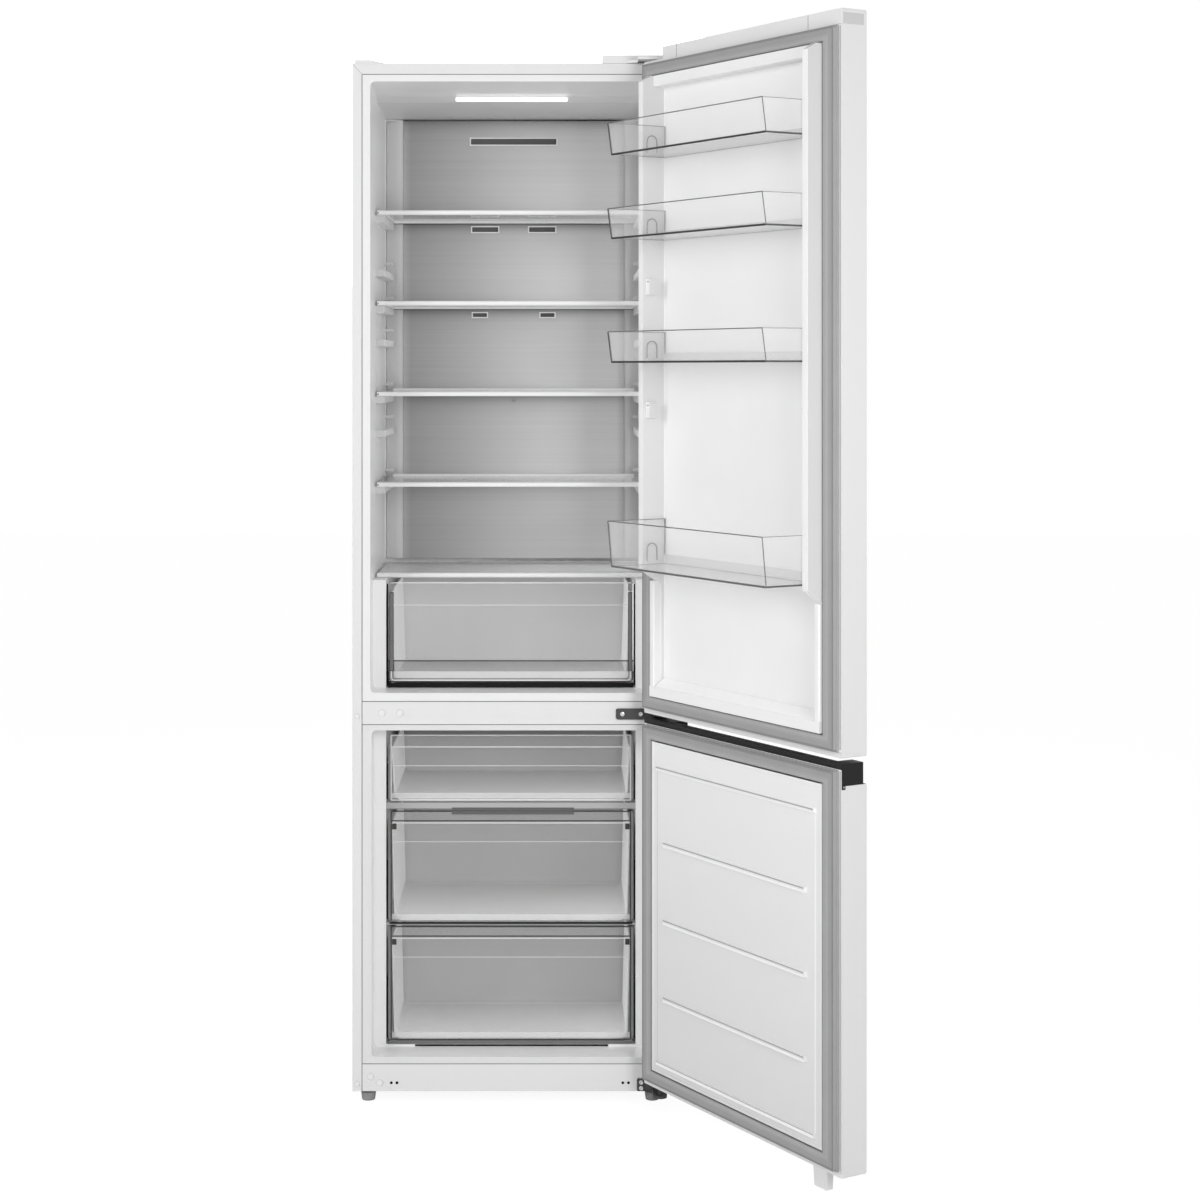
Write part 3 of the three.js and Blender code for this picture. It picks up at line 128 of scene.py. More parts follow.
class Value:
    """One output of a shader node. Arithmetic on it adds Math nodes."""

    def __init__(self, finish, socket):
        self.finish = finish
        self.socket = socket

    def math(self, operation, *others):
        return self.finish.math(operation, self, *others)

    def __add__(self, other):
        return self.math("ADD", other)

    def __mul__(self, other):
        return self.math("MULTIPLY", other)

    __radd__, __rmul__ = __add__, __mul__

    def __sub__(self, other):
        return self.math("SUBTRACT", other)

    def __rsub__(self, other):
        return self.finish.math("SUBTRACT", other, self)

    def __truediv__(self, other):
        return self.math("DIVIDE", other)

    def __pow__(self, other):
        return self.math("POWER", other)

    def __abs__(self):
        return self.math("ABSOLUTE")

    def above(self, other):
        return self.math("GREATER_THAN", other)

    def below(self, other):
        return self.math("LESS_THAN", other)

    def clamp(self):
        return self.math("MAXIMUM", 0.0).math("MINIMUM", 1.0)


class Finish:
    """A material, and the one method that adds a node to it."""

    def __init__(self, name, color, roughness, metallic=0.0, **fixed):
        self.material = bpy.data.materials.new(name)
        self.material.use_nodes = True
        self.tree = self.material.node_tree
        self.shader = self.tree.nodes["Principled BSDF"]
        self.shader.inputs["Base Color"].default_value = (*color, 1.0)
        self.shader.inputs["Roughness"].default_value = roughness
        self.shader.inputs["Metallic"].default_value = metallic
        for key, value in fixed.items():
            self.shader.inputs[key.replace("_", " ").title().replace("Ior", "IOR")].default_value = value

    def node(self, kind, settings=None, values=None, output=0):
        made = self.tree.nodes.new(kind)
        for key, value in (settings or {}).items():
            setattr(made, key, value)
        for key, value in (values or {}).items():
            if isinstance(value, Value):
                self.tree.links.new(value.socket, made.inputs[key])
            elif value is not None:
                made.inputs[key].default_value = value
        return Value(self, made.outputs[output])

    def math(self, operation, *values):
        return self.node("ShaderNodeMath", {"operation": operation}, dict(enumerate(values)))

    def places(self, scale=(1, 1, 1), turn=0.0, origin=(0, 0, 0)):
        """Object coordinates about an origin, turned about the upright axis, then scaled."""
        where = self.node("ShaderNodeTexCoord", output=3)
        moved = self.node("ShaderNodeVectorMath", {"operation": "SUBTRACT"}, {0: where, 1: origin})
        turned = self.node("ShaderNodeMapping", None, {0: moved, 2: (0, 0, -turn)})
        return self.node("ShaderNodeVectorMath", {"operation": "MULTIPLY"}, {0: turned, 1: scale})

    def axes(self, vector):
        return [self.node("ShaderNodeSeparateXYZ", None, {0: vector}, i) for i in range(3)]

    def noise(self, scale, detail=2.0, roughness=0.5, vector=None):
        vector = vector or self.places()
        values = {"Vector": vector, "Scale": scale, "Detail": detail, "Roughness": roughness}
        return self.node("ShaderNodeTexNoise", None, values)

    def blend(self, amount, first, second):
        values = {0: amount}
        for index, color in ((6, first), (7, second)):
            values[index] = color if isinstance(color, Value) else (*color, 1.0)
        return self.node("ShaderNodeMix", {"data_type": "RGBA"}, values, 2)

    def give(self, name, value):
        self.tree.links.new(value.socket, self.shader.inputs[name])

    def bump(self, height, distance, strength=1.0):
        values = {"Strength": strength, "Distance": distance, "Height": height}
        self.give("Normal", self.node("ShaderNodeBump", None, values))


def tone(level, warmth=0.0):
    return (level * (1 + warmth), level, level * (1 - warmth))


def moulded(name, level, roughness=0.34, grain=0.00002, warmth=0.0, **fixed):
    """Moulded plastic: a faint unevenness of tone and gloss, and a very fine grain."""
    finish = Finish(name, tone(level, warmth), roughness, **fixed)
    cloud = finish.noise(9.0, 3.0)
    grains = finish.noise(1400.0, 2.0)
    finish.give("Base Color", finish.blend(cloud, tone(level * 0.975, warmth), tone(level * 1.02, warmth)))
    finish.give("Roughness", roughness - 0.04 + cloud * 0.08 + grains * 0.03)
    finish.bump(grains, grain)
    return finish.material


def painted(name, level, roughness=0.3, seams=None):
    """White paint on sheet steel: fine orange peel, and mitred corners where they are asked for."""
    finish = Finish(name, tone(level), roughness, coat_weight=0.2, coat_roughness=0.15)
    cloud = finish.noise(2.5, 2.0)
    peel = finish.noise(520.0, 2.0, 0.6)
    color = finish.blend(cloud, tone(level * 0.985), tone(level * 1.01))
    height = peel * 0.25
    if seams:
        mask = seams(finish)
        color = finish.blend(mask, color, tone(level * 0.62))
        height = height - mask
    finish.give("Base Color", color)
    finish.give("Roughness", roughness - 0.03 + cloud * 0.06)
    finish.bump(height, 0.00012)
    return finish.material


FLANGE_SIDE = 18.5
FLANGE_TOP = 20.5


def mitres(finish):
    """Where the front flange's side and top strips meet, at both upper corners."""
    x, y, z = finish.axes(finish.places(origin=at(0, 0, 0)))
    inwards = (HALF * MM - abs(x)) / (FLANGE_SIDE * MM)
    down = (TOP * MM - z) / (FLANGE_TOP * MM)
    line = abs(inwards - down).below(0.035)
    return line * y.below(0.6 * MM) * down.below(1.02)


def brushed(name, level, roughness, metallic, along=(1, 90, 900), painted_light_sweep=None, under=()):
    """Metal brushed in one direction: long fine scratches in tone, gloss and relief.

    A painted light sweep is a half width and the shares of the tone at its left, middle and right: a
    painted reflection, with painted highlights along the side edges. Under each given height lies
    a painted soft shadow of what stands out there.
    """
    finish = Finish(name, tone(level), roughness, metallic)
    fine = finish.noise(3.0, 4.0, 0.7, finish.places(along))
    coarse = finish.noise(1.2, 3.0, 0.6, finish.places((1, 1, 160)))
    cloud = finish.noise(2.2, 2.0)
    shade = (fine * 0.35 + coarse * 0.5 + cloud * 0.15).clamp()
    color = finish.blend(shade, tone(level * 0.84), tone(level * 1.16))
    # Painted reflection across the panel, darker at its left and lighter at its right, painted highlights at
    # its side edges, and painted shadows under the given heights.
    if painted_light_sweep:
        reach, left, middle, right = painted_light_sweep
        x, y, z = finish.axes(finish.places(origin=at(0, 0, 0)))
        x = x / (reach * MM)
        edge = ((abs(x) - 0.93) / 0.07).clamp()
        light = finish.blend((x * -1.0).clamp(), tone(middle), tone(left))
        light = finish.blend(x.clamp(), light, tone(right))
        light = finish.blend(edge * 0.8, light, tone(0.95))
        for height in under:
            drop = (height * MM - z) / 0.032
            shadow = (1.0 - drop).clamp() ** 2.5 * drop.above(0.0)
            light = finish.blend(shadow * 0.6, light, tone(0.18))
        values = {6: color, 7: light, 0: 1.0}
        color = finish.node("ShaderNodeMix", {"data_type": "RGBA", "blend_type": "MULTIPLY"}, values, 2)
    finish.give("Base Color", color)
    finish.give("Roughness", roughness - 0.08 + fine * 0.16)
    finish.bump(fine, 0.00003)
    return finish.material


def galvanised(name):
    """Zinc coated sheet: a soft spangle and a dull sheen."""
    finish = Finish(name, tone(0.55), 0.45, 0.85)
    spangle = finish.node("ShaderNodeTexVoronoi", None, {"Vector": finish.places(), "Scale": 90.0})
    cloud = finish.noise(14.0, 3.0)
    shade = (spangle * 0.6 + cloud * 0.5).clamp()
    finish.give("Base Color", finish.blend(shade, tone(0.46), tone(0.62)))
    finish.give("Roughness", 0.36 + shade * 0.2)
    finish.bump(cloud, 0.00008)
    return finish.material


def see_through(name, level, clear, dense, roughness=0.06, warmth=0.0, streaks=0.0):
    """Clear plastic or glass: nearly invisible face on, denser at a slant and along its edges."""
    finish = Finish(name, tone(level, warmth), roughness, ior=1.49)
    slant = finish.node("ShaderNodeLayerWeight", None, {"Blend": 0.35}, 1)
    cloud = finish.noise(18.0, 3.0)
    finish.give("Alpha", (clear + (slant ** 2.0) * (dense - clear) + cloud * streaks).clamp())
    finish.give("Base Color", finish.blend(cloud, tone(level * 0.97, warmth), tone(level, warmth)))
    finish.give("Roughness", roughness + cloud * 0.05)
    return finish.material


def rubbery(name, level, roughness=0.7):
    """Soft rubber, dull and finely grained."""
    finish = Finish(name, tone(level), roughness)
    cloud = finish.noise(20.0, 3.0)
    grains = finish.noise(900.0, 3.0)
    finish.give("Base Color", finish.blend(cloud, tone(level * 0.93), tone(level * 1.05)))
    finish.give("Roughness", roughness - 0.05 + grains * 0.12)
    finish.bump(grains, 0.00006)
    return finish.material


def foamed(name, color):
    """Cut rigid foam: small open cells."""
    finish = Finish(name, color, 0.9)
    cells = finish.node("ShaderNodeTexVoronoi", None, {"Vector": finish.places(), "Scale": 420.0})
    cloud = finish.noise(30.0, 3.0)
    dark = tuple(0.8 * c for c in color)
    finish.give("Base Color", finish.blend(cloud, dark, color))
    finish.give("Roughness", 0.85 + cells * 0.1)
    finish.bump(cells, 0.0004)
    return finish.material


def lacquered(name, color, roughness, metallic=0.0):
    """A thin coat on metal, slightly uneven in tone and gloss."""
    finish = Finish(name, color, roughness, metallic)
    cloud = finish.noise(40.0, 3.0)
    grains = finish.noise(260.0, 2.0)
    bright = tuple(min(1.0, 1.25 * c) for c in color)
    finish.give("Base Color", finish.blend(cloud, color, bright))
    finish.give("Roughness", roughness - 0.05 + cloud * 0.12)
    finish.bump(grains, 0.00005)
    return finish.material


def glowing(name, level, strength):
    """An opal lamp lens that is lit from behind."""
    finish = Finish(name, tone(level), 0.25, emission_strength=strength)
    cloud = finish.noise(60.0, 2.0)
    finish.give("Emission Color", finish.blend(cloud, tone(0.96), tone(1.0)))
    finish.give("Roughness", 0.22 + cloud * 0.06)
    return finish.material


def painted_glow_plastic(name, level, glow, front=None, rear=None, rear_share=0.6):
    """Milky plastic that glows a little as painted light, evenly, or more towards its front with its colour
    painted darker towards its rear as painted shade.
    """
    finish = Finish(name, tone(level), 0.5, emission_strength=glow)
    cloud = finish.noise(9.0, 3.0)
    color = finish.blend(cloud, tone(level * 0.98), tone(level))
    light = cloud * 0.1 + 0.9
    if front is not None:
        depth = finish.axes(finish.places(origin=at(0, front, 0)))[1] / ((rear - front) * MM)
        light = light * (1.0 - depth).clamp()
        color = finish.blend(depth.clamp(), color, tone(level * rear_share))
    finish.give("Base Color", color)
    finish.give("Emission Color", finish.blend(light.clamp(), tone(0.0), tone(1.0)))
    finish.give("Roughness", 0.48 + cloud * 0.06)
    return finish.material


def by_height(name, low_level, high_level, z_low, z_high):
    """Moulded plastic whose tone changes gently from its foot to its head."""
    finish = Finish(name, tone(high_level), 0.34)
    height = finish.axes(finish.places(origin=at(0, 0, z_low)))[2] / ((z_high - z_low) * MM)
    grains = finish.noise(1400.0, 2.0)
    finish.give("Base Color", finish.blend(height.clamp(), tone(low_level), tone(high_level)))
    finish.give("Roughness", 0.3 + grains * 0.08)
    finish.bump(grains, 0.00002)
    return finish.material


CASING_PAINT = painted("casing_paint", 0.77, seams=mitres)
DOOR_PAINT = painted("door_paint", 0.77)
LINER = moulded("liner_plastic", 0.93, 0.3, coat_weight=0.15)
DOOR_LINER = moulded("door_liner_plastic", 0.92, 0.32, coat_weight=0.15)
TRIM = moulded("white_trim", 0.88, 0.35)
CAP = moulded("door_cap_plastic", 0.80, 0.38)
GREY_PLASTIC = moulded("grey_plastic", 0.30, 0.42)
COVER_PLASTIC = moulded("freezer_cover_plastic", 0.70, 0.4)
DARK_PLASTIC = moulded("dark_plastic", 0.035, 0.42, 0.00005)
BLACK_PLASTIC = moulded("black_plastic", 0.012, 0.45, 0.00005, specular_ior_level=0.25)
FEET_PLASTIC = moulded("feet_plastic", 0.28, 0.5, 0.00005)
# Dark sheets put where there is only shade: painted shadow in gaps, holes and under drawers.
SHADOW_PLASTIC = moulded("painted_shadow_plastic", 0.012, 0.7, specular_ior_level=0.1)
SHADED_FROM = [span("metal_back_panel")[1][2]] + [span(f"shelf_frame_{i}")[0][2] for i in range(1, 5)]
PANEL_HALF = 229
# The back panel's tone carries a painted reflection and painted shadows under its top edge and under the
# shelves.
BRUSHED_PANEL = brushed("brushed_panel", 0.43, 0.36, 0.75, painted_light_sweep=(PANEL_HALF, 0.66, 1.04, 1.5),
                        under=SHADED_FROM)
SCREW_STEEL = brushed("screw_steel", 0.62, 0.28, 1.0, along=(400, 400, 400))
HINGE_STEEL = lacquered("hinge_coating", tone(0.055), 0.42, 0.3)
ZINC = galvanised("zinc_sheet")
GLASS = see_through("shelf_glass", 0.80, 0.10, 0.85, 0.03)
GLASS_EDGE = see_through("glass_edge", 0.52, 0.62, 0.95, 0.15, -0.03)
CLEAR = see_through("clear_plastic", 0.74, 0.16, 0.8, 0.07, 0.0, 0.03)
# Painted shade where light bends at clear edges, painted highlights on thin ridges, and a painted light band
# near a drawer's foot.
CLEAR_EDGE_SHADE = see_through("clear_plastic_edge", 0.045, 0.88, 0.97, 0.3)
CLEAR_HIGHLIGHT = see_through("clear_plastic_highlight", 0.92, 0.55, 0.9, 0.2)
CLEAR_FOOT = see_through("clear_plastic_foot", 0.88, 0.45, 0.8, 0.2)
CLEAR_BAND = see_through("clear_plastic_band", 0.30, 0.22, 0.7, 0.1)
TUB = moulded("tub_plastic", 0.93, 0.5)
# Shaded copies of the tray plastic for the trays' rear walls: painted shade.
TUB_REAR_SHADE = moulded("tub_rear_plastic", 0.43, 0.55)
CRISPER_REAR_SHADE = moulded("crisper_rear_plastic", 0.66, 0.55)
# Lit copies of the tray plastic: the trays' side walls glow as painted light, the right wall more than the
# left.
TUB_LEFT = painted_glow_plastic("tub_left_plastic", 0.93, 0.13)
TUB_RIGHT = painted_glow_plastic("tub_right_plastic", 0.93, 0.26)
BASKET_CLEAR = see_through("basket_plastic", 0.93, 0.08, 0.5, 0.05, 0.0, 0.02)
# Painted shade along the baskets' and crisper's clear edges, where light bends in the plastic.
BASKET_RIM = see_through("basket_rim", 0.30, 0.5, 0.85, 0.12)
BASKET_EDGE = moulded("basket_edge", 0.02, 0.5)
BASKET_LINE = moulded("basket_line", 0.12, 0.45)
BASKET_HOOK = moulded("basket_hook", 0.16, 0.45)
# Painted shade for the pegs' sides.
PEG_SIDE_SHADE = moulded("peg_side_shade", 0.66, 0.4)
RUBBER = rubbery("seal_rubber", 0.375)
FOAM = foamed("insulation_foam", (0.76, 0.68, 0.40))
# The duct's white plastic, its tone lowered in part as painted shade for the corners beside the back panel.
DUCT_FOAM = moulded("duct_plastic", 0.77, 0.42)
# Shaded copies of the liner plastic: painted shade on the liners' front faces and on the rear of the fridge's
# ceiling.
LINER_FRONT_SHADE = moulded("liner_front", 0.82, 0.34)
LINER_CEILING_SHADE = moulded("liner_ceiling_shade", 0.80, 0.34)
FREEZER_FRONT_SHADE = moulded("freezer_liner_front", 0.74, 0.34)
# Painted shade for a band of the shelf frames' fronts.
TRIM_SHADE = moulded("trim_shade", 0.84, 0.4)
CAP_SHADE = moulded("door_cap_end", 0.60, 0.4)
GRIP_GREY = moulded("grip_grey", 0.10, 0.45)
# Painted shade and painted highlights on ribs, seals and cap rims.
RIB_SHADE_LINE = moulded("rib_shade_line", 0.40, 0.5)
RIB_GLEAM = moulded("rib_gleam", 0.98, 0.3)
SEAL_GROOVE_SHADE = rubbery("seal_groove_shade", 0.25)
SEAL_SHADE = rubbery("seal_shade", 0.34)
SEAL_GLEAM = rubbery("seal_gleam", 0.42)
COVER_GLASS = see_through("cover_glass", 0.95, 0.5, 0.88, 0.04)
EDGE_BAND = see_through("clear_plastic_flange", 0.30, 0.7, 0.9, 0.15)
# Dark grey of the crisper's rails, also used as painted shade in the gap under the lower freezer drawer.
RAIL_GREY_AND_GAP_SHADE = moulded("drawer_rail", 0.16, 0.45)
FRAME_WHITE = moulded("outlet_frame", 0.97, 0.3)
# Painted shade inside the outlets.
THROAT_SHADE = moulded("outlet_throat_shade", 0.12, 0.6)
# Shaded copies of the white plastics: painted shade on the sides of the door's ridges and borders that face
# its free end, and on the shelf ribs' fronts.
DOOR_SIDE_SHADE = moulded("door_ridge_side_shade", 0.70, 0.36)
BORDER_SIDE_SHADE = moulded("door_border_side_shade", 0.80, 0.36)
RIB_SHADE = moulded("shelf_rib_front", 0.60, 0.4)
# Painted shade in the groove along the doors' free sides.
EDGE_GAP_SHADE = moulded("door_edge_gap_shade", 0.50, 0.6)
TRIM_GREY = moulded("partition_trim", 0.44, 0.4)
JOINT = moulded("joint_shadow", 0.05, 0.8, specular_ior_level=0.1)
LENS = glowing("lamp_lens", 0.95, 1.0)
ALUMINIUM = brushed("fin_aluminium", 0.66, 0.4, 0.95, along=(20, 20, 300))
TUBE_LACQUER = lacquered("tube_lacquer", tone(0.02), 0.35, 0.2)
ENAMEL = lacquered("compressor_enamel", tone(0.016), 0.3, 0.1)


# ---- modelling


def only(piece):
    """Leaves edit mode, and selects this piece alone."""
    if bpy.context.object and bpy.context.object.mode != "OBJECT":
        object_mode()
    bpy.ops.object.select_all(action="DESELECT")
    piece.select_set(True)
    bpy.context.view_layer.objects.active = piece


def object_mode():
    bpy.ops.object.mode_set(mode="OBJECT")


def edited(piece, kind, action="DESELECT"):
    """Opens the piece alone in edit mode, with all or nothing of it selected."""
    only(piece)
    bpy.ops.object.mode_set(mode="EDIT")
    bpy.ops.mesh.select_mode(type=kind)
    bpy.ops.mesh.select_all(action=action)


def settled(piece, name):
    """The new primitive with its place in its mesh."""
    piece.name = name
    only(piece)
    bpy.ops.object.transform_apply(location=True, rotation=True, scale=True)
    return piece


def bar(name, x, y, z):
    """A box from a lowest to a highest value on each axis."""
    bpy.ops.object.select_all(action="DESELECT")
    bpy.ops.mesh.primitive_cube_add(size=1)
    piece = bpy.context.object
    low, high = at(x[0], y[0], z[0]), at(x[1], y[1], z[1])
    piece.scale = high - low
    piece.location = (low + high) / 2
    return settled(piece, name)


TURNS = {"x": (0, math.pi / 2, 0), "y": (math.pi / 2, 0, 0)}


def rod(name, center, radius, length, axis="y", sides=24):
    """A round bar about its centre."""
    bpy.ops.object.select_all(action="DESELECT")
    bpy.ops.mesh.primitive_cylinder_add(vertices=sides, radius=radius * MM, depth=length * MM,
                                        location=at(*center), rotation=TURNS[axis])
    return settled(bpy.context.object, name)


def strand(name, start, end, radius, material):
    """A thin edge bead with blunt ends, from one point to another."""
    a, b = at(*start), at(*end)
    bpy.ops.object.select_all(action="DESELECT")
    bpy.ops.mesh.primitive_cylinder_add(vertices=8, radius=radius * MM, depth=(b - a).length,
                                        location=(a + b) / 2,
                                        rotation=(b - a).to_track_quat("Z", "Y").to_euler())
    piece = coated(settled(bpy.context.object, name), material)
    return rounded(piece, radius * 0.4, 2, 60.0)


def modified(piece, kind, **settings):
    """The piece with one modifier applied."""
    only(piece)
    modifier = piece.modifiers.new(kind.lower(), kind)
    for key, value in settings.items():
        setattr(modifier, key, value)
    bpy.ops.object.modifier_apply(modifier=modifier.name)
    return piece


def rounded(piece, width=0.8, segments=2, angle=35.0, **more):
    """Edges sharper than an angle, rounded over a width."""
    modified(piece, "BEVEL", width=width * MM, segments=segments, limit_method="ANGLE",
             angle_limit=math.radians(angle), **more)
    return smooth(piece)


def smooth(piece, angle=50.0):
    """Smooth shading that keeps the large faces flat."""
    only(piece)
    bpy.ops.object.shade_smooth_by_angle(angle=math.radians(angle))
    return modified(piece, "WEIGHTED_NORMAL", keep_sharp=True)


def faces_picked(piece, test):
    """Opens the piece in edit mode with the faces selected whose centre and normal pass a test."""
    edited(piece, "FACE")
    object_mode()
    for face in piece.data.polygons:
        face.select = test(face.center, face.normal)
    bpy.ops.object.mode_set(mode="EDIT")


def pushed(piece, test, move):
    """Extrudes the faces that pass a test by a distance in millimetres."""
    faces_picked(piece, test)
    shift = tuple(value * MM for value in move)
    bpy.ops.mesh.extrude_region_move(TRANSFORM_OT_translate={"value": shift})
    object_mode()
    return piece


def inset(piece, test, width, depth=0.0):
    """Insets the region of faces that pass a test, and sinks or raises it."""
    faces_picked(piece, test)
    bpy.ops.mesh.inset(thickness=width * MM, depth=depth * MM)
    object_mode()
    return piece


def sliced(piece, axis, *levels):
    """Cuts new edges all round the piece where an axis has these values."""
    only(piece)
    normal = [0, 0, 0]
    normal["xyz".index(axis)] = 1
    bpy.ops.object.mode_set(mode="EDIT")
    for level in levels:
        bpy.ops.mesh.select_all(action="SELECT")
        bpy.ops.mesh.bisect(plane_co=at(level, level, level), plane_no=normal)
    object_mode()
    return piece


def edges_rounded(piece, test, width, segments=3):
    """Rounds the edges whose two ends pass a test."""
    edited(piece, "EDGE")
    object_mode()
    corners = piece.data.vertices
    for edge in piece.data.edges:
        edge.select = test(*(corners[i].co for i in edge.vertices))
    bpy.ops.object.mode_set(mode="EDIT")
    bpy.ops.mesh.bevel(offset=width * MM, segments=segments, affect="EDGES")
    object_mode()
    return piece


def shelled(piece, open_test, wall, rim=0):
    """Opens a closed form at the faces that pass a test, and gives it a wall inwards."""
    faces_picked(piece, open_test)
    bpy.ops.mesh.delete(type="FACE")
    object_mode()
    return modified(piece, "SOLIDIFY", thickness=wall * MM, offset=-1.0, use_even_offset=True,
                    material_offset_rim=rim)


def facing(axis, sign=1):
    """A test for faces that look along an axis."""
    return lambda center, normal: normal[axis] * sign > 0.9


def painted_faces(piece, material, test):
    """Gives the faces that pass a test a further material."""
    piece.data.materials.append(material)
    index = len(piece.data.materials) - 1
    for face in piece.data.polygons:
        if test(face.center, face.normal):
            face.material_index = index
    return piece


def joined(name, pieces):
    """Several pieces as one object; each keeps its materials."""
    only(pieces[0])
    for piece in pieces[1:]:
        piece.select_set(True)
    if len(pieces) > 1:
        bpy.ops.object.join()
    pieces[0].name = name
    return pieces[0]


def coated(piece, material, edge=None):
    """Gives the whole piece one material, and a second for edges that are still to be rounded."""
    piece.data.materials.clear()
    piece.data.materials.append(material)
    if edge:
        piece.data.materials.append(edge)
    return piece


def block(name, x, y, z, material, width, segments=2, angle=35.0):
    """A box of one material with rounded edges."""
    return rounded(coated(bar(name, x, y, z), material), width, segments, angle)


def fitted(piece, node, nodes=(), swung=False):
    """Finishes a piece: swung open with its door, riding where a node rides, standing for its nodes."""
    body, slot = BODIES[node], SLOTS[node]
    if swung:
        piece.data.transform(SWING)
    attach(piece, body)
    if nodes:
        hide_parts(*nodes)
    return piece


def dressed(node, material, width=0.8, segments=2, angle=35.0, edge=None):
    """A copy of a CAD node with merged corners and rounded edges, which stands for it."""
    source = frame["nodes"][node]
    piece = source.copy()
    piece.data = source.data.copy()
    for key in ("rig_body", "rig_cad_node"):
        if key in piece:
            del piece[key]
    bpy.context.scene.collection.objects.link(piece)
    piece.parent = None
    piece.name = node + "_finish"
    only(piece)
    bpy.ops.object.mode_set(mode="EDIT")
    bpy.ops.mesh.select_all(action="SELECT")
    bpy.ops.mesh.remove_doubles(threshold=0.00001)
    bpy.ops.mesh.dissolve_limited(angle_limit=math.radians(0.5))
    object_mode()
    coated(piece, material, edge)
    if width:
        rounded(piece, width, segments, angle, **({"material": 1} if edge else {}))
    else:
        smooth(piece)
    return fitted(piece, node, (node,))


def plain(node, material):
    """A CAD node that stays as it is, with a better material."""
    for slot in frame["nodes"][node].material_slots:
        slot.material = material


# ---- camera, light and floor

ROOM_LIGHT = 0.36
LAMPS = (  # name, place and target in millimetres, width in metres, watts
    ("key", (-2600, -3000, 2600), (0, 100, 1000), 2.0, 50),
    ("left", (-3700, -1900, 1700), (300, -200, 1100), 2.0, 22),
    ("right", (1900, -3700, 1400), (-150, 300, 1100), 1.4, 10),
    ("near", (1150, -2600, 1500), (-200, 300, 1100), 1.0, 24),
    ("back", (-600, 3200, 2800), (0, 300, 1000), 2.6, 16),
    ("inside", (240, 230, 1300), (-266, 250, 1300), (0.1, 1.0), 0.37),
)
IMAGE = 1200
FOCAL_PIXELS = 2278
AXIS_X, AXIS_Y = 552.9, 369.7  # pixel that the camera points at
SENSOR = 36.0
EYE = (81.3, -4331.0, 1393.8)
FLOOR_SIZE = 30  # metres


def studio():
    """The photograph's camera, a soft even light and a pale floor."""
    camera = bpy.data.cameras.new("camera")
    camera.sensor_width = SENSOR
    camera.lens = FOCAL_PIXELS / IMAGE * SENSOR
    camera.shift_x = (IMAGE / 2 - AXIS_X) / IMAGE
    camera.shift_y = (AXIS_Y - IMAGE / 2) / IMAGE
    eye = bpy.data.objects.new("camera", camera)
    eye.location = at(*EYE)
    eye.rotation_euler = (math.pi / 2, 0, 0)
    bpy.context.scene.collection.objects.link(eye)
    bpy.context.scene.camera = eye

    for name, place, target, size, power in LAMPS:
        lamp = bpy.data.lights.new(name, "AREA")
        inside = isinstance(size, tuple)
        if inside:
            lamp.shape = "RECTANGLE"
            lamp.size, lamp.size_y = size
        else:
            lamp.shape = "DISK"
            lamp.size = size
        lamp.energy = power
        holder = bpy.data.objects.new(name, lamp)
        holder.location = at(*place)
        holder.rotation_euler = (at(*target) - at(*place)).to_track_quat("-Z", "Y").to_euler()
        holder.visible_camera = holder.visible_glossy = not inside
        bpy.context.scene.collection.objects.link(holder)

    world = bpy.data.worlds.new("studio")
    bpy.context.scene.world = world
    world.use_nodes = True
    nodes, links = world.node_tree.nodes, world.node_tree.links
    light = nodes["Background"]
    light.inputs["Strength"].default_value = ROOM_LIGHT
    seen = nodes.new("ShaderNodeBackground")
    for background in (light, seen):
        background.inputs["Color"].default_value = (1, 1, 1, 1)
    path = nodes.new("ShaderNodeLightPath")
    mix = nodes.new("ShaderNodeMixShader")
    total = path.outputs["Is Camera Ray"]
    for kind in ("Is Glossy Ray", "Is Transmission Ray"):
        add = nodes.new("ShaderNodeMath")
        add.use_clamp = True
        links.new(total, add.inputs[0])
        links.new(path.outputs[kind], add.inputs[1])
        total = add.outputs[0]
    links.new(total, mix.inputs["Fac"])
    links.new(light.outputs["Background"], mix.inputs[1])
    links.new(seen.outputs["Background"], mix.inputs[2])
    links.new(mix.outputs["Shader"], nodes["World Output"].inputs["Surface"])

    bpy.ops.object.select_all(action="DESELECT")
    bpy.ops.mesh.primitive_plane_add(size=FLOOR_SIZE, location=(0, 0, -0.0005))
    floor = bpy.context.object
    floor.name = "floor"
    finish = Finish("floor_paint", tone(0.9), 0.6)
    cloud = finish.noise(0.6, 2.0)
    finish.give("Base Color", finish.blend(cloud, tone(0.89), tone(0.91)))
    shown = finish.node("ShaderNodeLightPath")
    glow = finish.node("ShaderNodeEmission", None, {"Color": (1, 1, 1, 1), "Strength": 1.1})
    both = finish.node("ShaderNodeMixShader", None, {0: shown * 0.84, 2: glow})
    finish.tree.links.new(finish.shader.outputs[0], both.socket.node.inputs[1])
    finish.tree.links.new(both.socket, finish.tree.nodes["Material Output"].inputs["Surface"])
    floor.data.materials.append(finish.material)

    bpy.context.scene.view_settings.view_transform = "Standard"


studio()

# ---- casing and compartments

for node in ("cabinet_shell", "crossbar", "base_rail"):
    dressed(node, CASING_PAINT, 0.9)
fridge_liner = dressed("fridge_liner", LINER, 1.6, 3)
